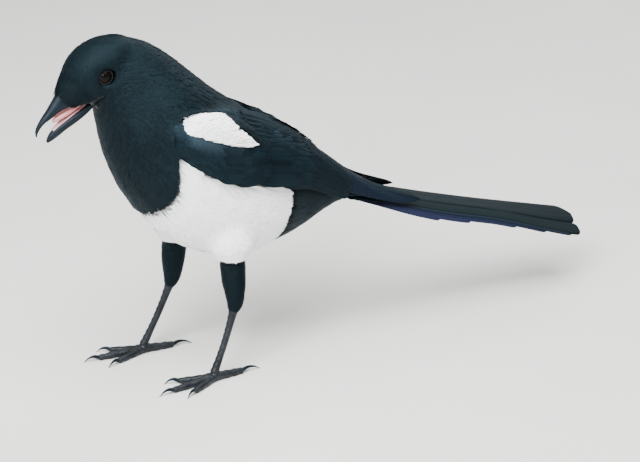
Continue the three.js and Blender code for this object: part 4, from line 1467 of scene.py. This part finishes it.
CAMERA_AZIMUTH, CAMERA_ELEVATION = radians(-30), radians(21)
CAMERA_TARGET = Vector((-0.00354, 0, 0.066))
LAMPS = (  # name, azimuth, elevation, distance and size
    ("sky", -0.3, 1.25, 1.6, 1.2),
    ("key", -0.9, 0.7, 1.5, 0.7),
    ("rim", 2.2, 0.7, 1.5, 0.8),
)


def direction(azimuth, elevation):
    """Unit vector towards a place in the sky: azimuth 0 is the -Y side."""
    return Vector((sin(azimuth) * cos(elevation), -cos(azimuth) * cos(elevation), sin(elevation)))


def aimed(name, data, azimuth, elevation, distance):
    """A lamp or camera that looks at the camera's target from a place in the sky."""
    thing = bpy.data.objects.new(name, data)
    heading = direction(azimuth, elevation)
    thing.location = CAMERA_TARGET + distance * heading
    thing.rotation_euler = heading.to_track_quat("Z", "Y").to_euler()
    bpy.context.scene.collection.objects.link(thing)
    return thing


def build_stage(studio):
    """A pale floor, soft lamps under a pale sky, and the camera."""
    bpy.ops.mesh.primitive_plane_add(size=8)
    floor = bpy.context.object
    floor.name = "floor"
    finish = Finish("pale_floor")
    speckle = finish.ramp(finish.noise(6), 0.3, 0.7)
    pale = tuple(studio.floor_colour)
    finish.set(Base_Color=finish.blend(speckle, darker(pale, 0.94), pale), Roughness=0.9)
    floor.data.materials.append(finish.material)
    floor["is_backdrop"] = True
    world = bpy.data.worlds.new("studio")
    world.use_nodes = True
    background = world.node_tree.nodes["Background"].inputs
    background["Color"].default_value = (*studio.sky_colour, 1)
    background["Strength"].default_value = studio.sky_strength
    bpy.context.scene.world = world
    for name, azimuth, elevation, distance, width in LAMPS:
        lamp = bpy.data.lights.new(name, "AREA")
        lamp.size, lamp.energy = width, getattr(studio, f"{name}_power")
        aimed(name, lamp, azimuth, elevation, distance)
    camera = bpy.data.cameras.new("camera")
    camera.lens = studio.lens
    place = CAMERA_AZIMUTH, CAMERA_ELEVATION, studio.camera_distance
    bpy.context.scene.camera = aimed("camera", camera, *place)


def materials():
    """The finishes that several pieces share, made once."""
    if "colours" not in SETTINGS:
        edge = paint("edge_gloss")
        SETTINGS["colours"] = {
            "black": dark_plumage("black_plumage", paint("leg_gloss"), 0.42, 0.2),
            "sheen": dark_plumage("sheen_plumage", paint("body_gloss"), 0.46, 0.15),
            "flight": dark_plumage("flight_feathers", paint("flight_gloss"), 0.42, 0.2, LONG_BARBS, edge),
            # the wing's edge colour is the painted sheen on the front of the coverts
            "wing": dark_plumage("wing_plumage", paint("wing_gloss"), 0.38, 0.3, edge=paint("painted_wing_sheen")),
            "tail": dark_plumage("tail_plumage", paint("tail_gloss"), 0.5, 0.1, LONG_BARBS, edge),
            "white": white_plumage(),
        }
    return SETTINGS["colours"]


# Settings, operators and panel


def colour(name, description, default):
    """A colour setting."""
    return FloatVectorProperty(
        name=name, description=description, default=default, subtype="COLOR", min=0, max=1
    )


def distance(name, description, default):
    """A setting in metres."""
    return FloatProperty(
        name=name, description=description, default=default, unit="LENGTH", min=0, precision=5
    )


def power(name, description, default):
    """A setting in watts."""
    return FloatProperty(name=name, description=description, default=default, unit="POWER", min=0)


class MagpieColours(bpy.types.PropertyGroup):
    """The colours of the bird."""

    black: colour("Black", "Root colour of all the black feathers", (0.003, 0.005, 0.0065))
    body_gloss: colour("Body gloss", "Gloss of the head, breast and back", (0.0068, 0.0138, 0.0175))
    leg_gloss: colour("Leg gloss", "Gloss of the feathered legs", (0.006, 0.012, 0.0145))
    wing_gloss: colour("Wing gloss", "Blue gloss of the wing coverts", (0.0075, 0.0165, 0.0225))
    # painted sheen: the lighter colour laid on the front of the outer wing coverts
    painted_wing_sheen: colour("Wing sheen", "Sheen under the front of the shoulder patch", (0.022, 0.037, 0.049))
    flight_gloss: colour("Flight gloss", "Gloss of the primaries and secondaries", (0.0045, 0.0105, 0.0145))
    tail_gloss: colour("Tail gloss", "Green gloss of the tail feathers", (0.004, 0.009, 0.010))
    edge_gloss: colour("Edge gloss", "Outer webs of the tail and wings", (0.016, 0.02, 0.045))
    white: colour("White", "The belly and the shoulders", (0.97, 0.98, 0.985))
    white_shade: colour("White shade", "The roots of the white feathers", (0.68, 0.71, 0.72))
    skin_dark: colour("Dark skin", "Skin under the black feathers", (0.012, 0.016, 0.019))
    skin_pale: colour("Pale skin", "Skin under the white feathers", (0.72, 0.73, 0.73))
    bill_dark: colour("Bill", "Horn of the bill and claws", (0.003, 0.0045, 0.0065))
    bill_worn: colour("Worn bill", "Worn horn on the ridges", (0.009, 0.0125, 0.017))
    mouth_dark: colour("Mouth shade", "Darker skin in the mouth", (0.4, 0.15, 0.16))
    mouth_pink: colour("Mouth", "Tongue and lining of the mouth", (0.6, 0.28, 0.29))
    iris: colour("Iris", "Dark brown of the eye", (0.006, 0.0042, 0.003))
    leg_dark: colour("Leg", "Skin of the shanks and toes", (0.004, 0.0055, 0.007))
    leg_worn: colour("Worn leg", "Worn scales of the shanks and toes", (0.013, 0.0165, 0.021))


class MagpieSizes(bpy.types.PropertyGroup):
    """The sizes of the coat and of the parts that aren't taken from the solids."""

    coat_depth: distance("Coat depth", "How far the skin lies inside the plumage on the body", 0.0022)
    face_depth: distance("Face coat depth", "How far the skin lies inside the plumage on the face", 0.0009)
    face_feather: distance("Face feathers", "Length of the feathers next to the bill", 0.0024)
    body_feather: distance("Body feathers", "Length of the feathers on the flanks", 0.015)
    leg_feather: distance("Leg feathers", "Length of the feathers above the shanks", 0.006)
    shoulder_feather: distance("Shoulder feathers", "Length of the white feathers of the shoulders", 0.011)
    bristle: distance("Bristles", "Length of the bristles over the base of the bill", 0.008)
    flight_thickness: distance("Flight feather thickness", "Thickness of a flight feather's vane", 0.00035)
    tail_half_width: distance("Tail feather half width", "Half the width of a tail feather", 0.011)
    tail_thickness: distance("Tail feather thickness", "Thickness of a tail feather's vane", 0.00045)
    scale_depth: distance("Leg scales", "How far the scales of the shanks stand out", 0.00028)
    lid_opening: FloatProperty(
        name="Eye opening", description="Half the angle that the lids leave open", default=radians(37),
        subtype="ANGLE", min=radians(5), max=radians(80),
    )


class MagpieStudio(bpy.types.PropertyGroup):
    """The floor, the light and the camera."""

    floor_colour: colour("Floor", "Colour of the floor", (0.66, 0.65, 0.63))
    sky_colour: colour("Sky", "Colour of the light from all round", (0.86, 0.9, 0.95))
    sky_strength: FloatProperty(
        name="Sky strength", description="Strength of the light from all round", default=0.36
    )
    sky_power: power("Overhead lamp", "Power of the wide lamp overhead", 54)
    key_power: power("Key lamp", "Power of the lamp in front of the bird", 54)
    rim_power: power("Rim lamp", "Power of the lamp behind the bird", 13)
    lens: FloatProperty(name="Lens", description="Focal length of the camera", default=119, unit="CAMERA")
    camera_distance: distance("Camera distance", "From the camera to what it looks at", 1.25)


class MAGPIE_OT_stage(bpy.types.Operator):
    """Sets up the floor, the lamps and the camera"""

    bl_idname = "magpie.stage"
    bl_label = "Stage"

    def execute(self, context):
        build_stage(context.scene.magpie_studio)
        return {"FINISHED"}


class MAGPIE_OT_skin(bpy.types.Operator):
    """Makes one skin for the head, neck, trunk and thighs"""

    bl_idname = "magpie.skin"
    bl_label = "Skin"

    def execute(self, context):
        build_skin()
        return {"FINISHED"}


class MAGPIE_OT_body_feathers(bpy.types.Operator):
    """Lays the small feathers of the head, neck, body and thighs"""

    bl_idname = "magpie.body_feathers"
    bl_label = "Body feathers"

    def execute(self, context):
        body_coat(materials(), np.random.default_rng(SEEDS["body"]))
        return {"FINISHED"}


class MAGPIE_OT_shoulder_feathers(bpy.types.Operator):
    """Lays the white feathers of both shoulders and the black ones above them"""

    bl_idname = "magpie.shoulder_feathers"
    bl_label = "Shoulder feathers"

    def execute(self, context):
        rng = np.random.default_rng(SEEDS["shoulders"])
        build_shoulders(materials(), rng)
        build_mantle_edge(materials(), rng)
        return {"FINISHED"}


class MAGPIE_OT_wings(bpy.types.Operator):
    """Makes both folded wings: cores, flight feathers and coverts"""

    bl_idname = "magpie.wings"
    bl_label = "Wings"

    def execute(self, context):
        rng = np.random.default_rng(SEEDS["wings"])
        for name, side in SIDES.items():
            build_wing_core(name, side, materials())
            build_flight_feathers(name, side, materials(), rng)
            build_wing_coverts(name, side, materials(), rng)
        return {"FINISHED"}


class MAGPIE_OT_tail(bpy.types.Operator):
    """Makes the twelve tail feathers and their coverts"""

    bl_idname = "magpie.tail"
    bl_label = "Tail"

    def execute(self, context):
        build_tail(materials(), np.random.default_rng(SEEDS["tail"]))
        return {"FINISHED"}


class MAGPIE_OT_bill(bpy.types.Operator):
    """Makes the bill, the tongue, the lining of the mouth and the bristles"""

    bl_idname = "magpie.bill"
    bl_label = "Bill and mouth"

    def execute(self, context):
        build_bill()
        build_bristles(materials(), np.random.default_rng(SEEDS["bristles"]))
        return {"FINISHED"}


class MAGPIE_OT_eyes(bpy.types.Operator):
    """Makes the eyes and their lids"""

    bl_idname = "magpie.eyes"
    bl_label = "Eyes"

    def execute(self, context):
        build_eyes()
        return {"FINISHED"}


class MAGPIE_OT_legs(bpy.types.Operator):
    """Makes the shanks, toes and claws"""

    bl_idname = "magpie.legs"
    bl_label = "Legs and feet"

    def execute(self, context):
        build_legs()
        return {"FINISHED"}


STEPS = (
    MAGPIE_OT_stage, MAGPIE_OT_skin, MAGPIE_OT_body_feathers, MAGPIE_OT_shoulder_feathers, MAGPIE_OT_wings,
    MAGPIE_OT_tail, MAGPIE_OT_bill, MAGPIE_OT_eyes, MAGPIE_OT_legs,
)


class MAGPIE_PT_panel(bpy.types.Panel):
    """Lists the steps of the build and its settings"""

    bl_idname = "MAGPIE_PT_panel"
    bl_label = "Eurasian magpie"
    bl_space_type = "VIEW_3D"
    bl_region_type = "UI"
    bl_category = "Magpie"

    def draw(self, context):
        for step in STEPS:
            self.layout.operator(step.bl_idname)
        for group in GROUPS:
            settings = getattr(context.scene, group)
            box = self.layout.box()
            for key in settings.__annotations__:
                box.prop(settings, key)


GROUPS = {"magpie_colours": MagpieColours, "magpie_sizes": MagpieSizes, "magpie_studio": MagpieStudio}
CLASSES = (*GROUPS.values(), *STEPS, MAGPIE_PT_panel)


def register():
    """Adds the classes and the settings to Blender."""
    for cls in CLASSES:
        bpy.utils.register_class(cls)
    for name, group in GROUPS.items():
        setattr(bpy.types.Scene, name, PointerProperty(type=group))


def unregister():
    """Takes them out again."""
    for name in GROUPS:
        delattr(bpy.types.Scene, name)
    for cls in reversed(CLASSES):
        bpy.utils.unregister_class(cls)


def corners():
    """The whole object's box as plain lists."""
    return [list(corner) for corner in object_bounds()]


def main():
    """Runs every step in order."""
    register()
    bpy.ops.magpie.stage()
    bpy.ops.magpie.skin()
    bpy.ops.magpie.body_feathers()
    bpy.ops.magpie.shoulder_feathers()
    bpy.ops.magpie.wings()
    bpy.ops.magpie.tail()
    bpy.ops.magpie.bill()
    bpy.ops.magpie.eyes()
    bpy.ops.magpie.legs()


if __name__ == "__main__":
    main()
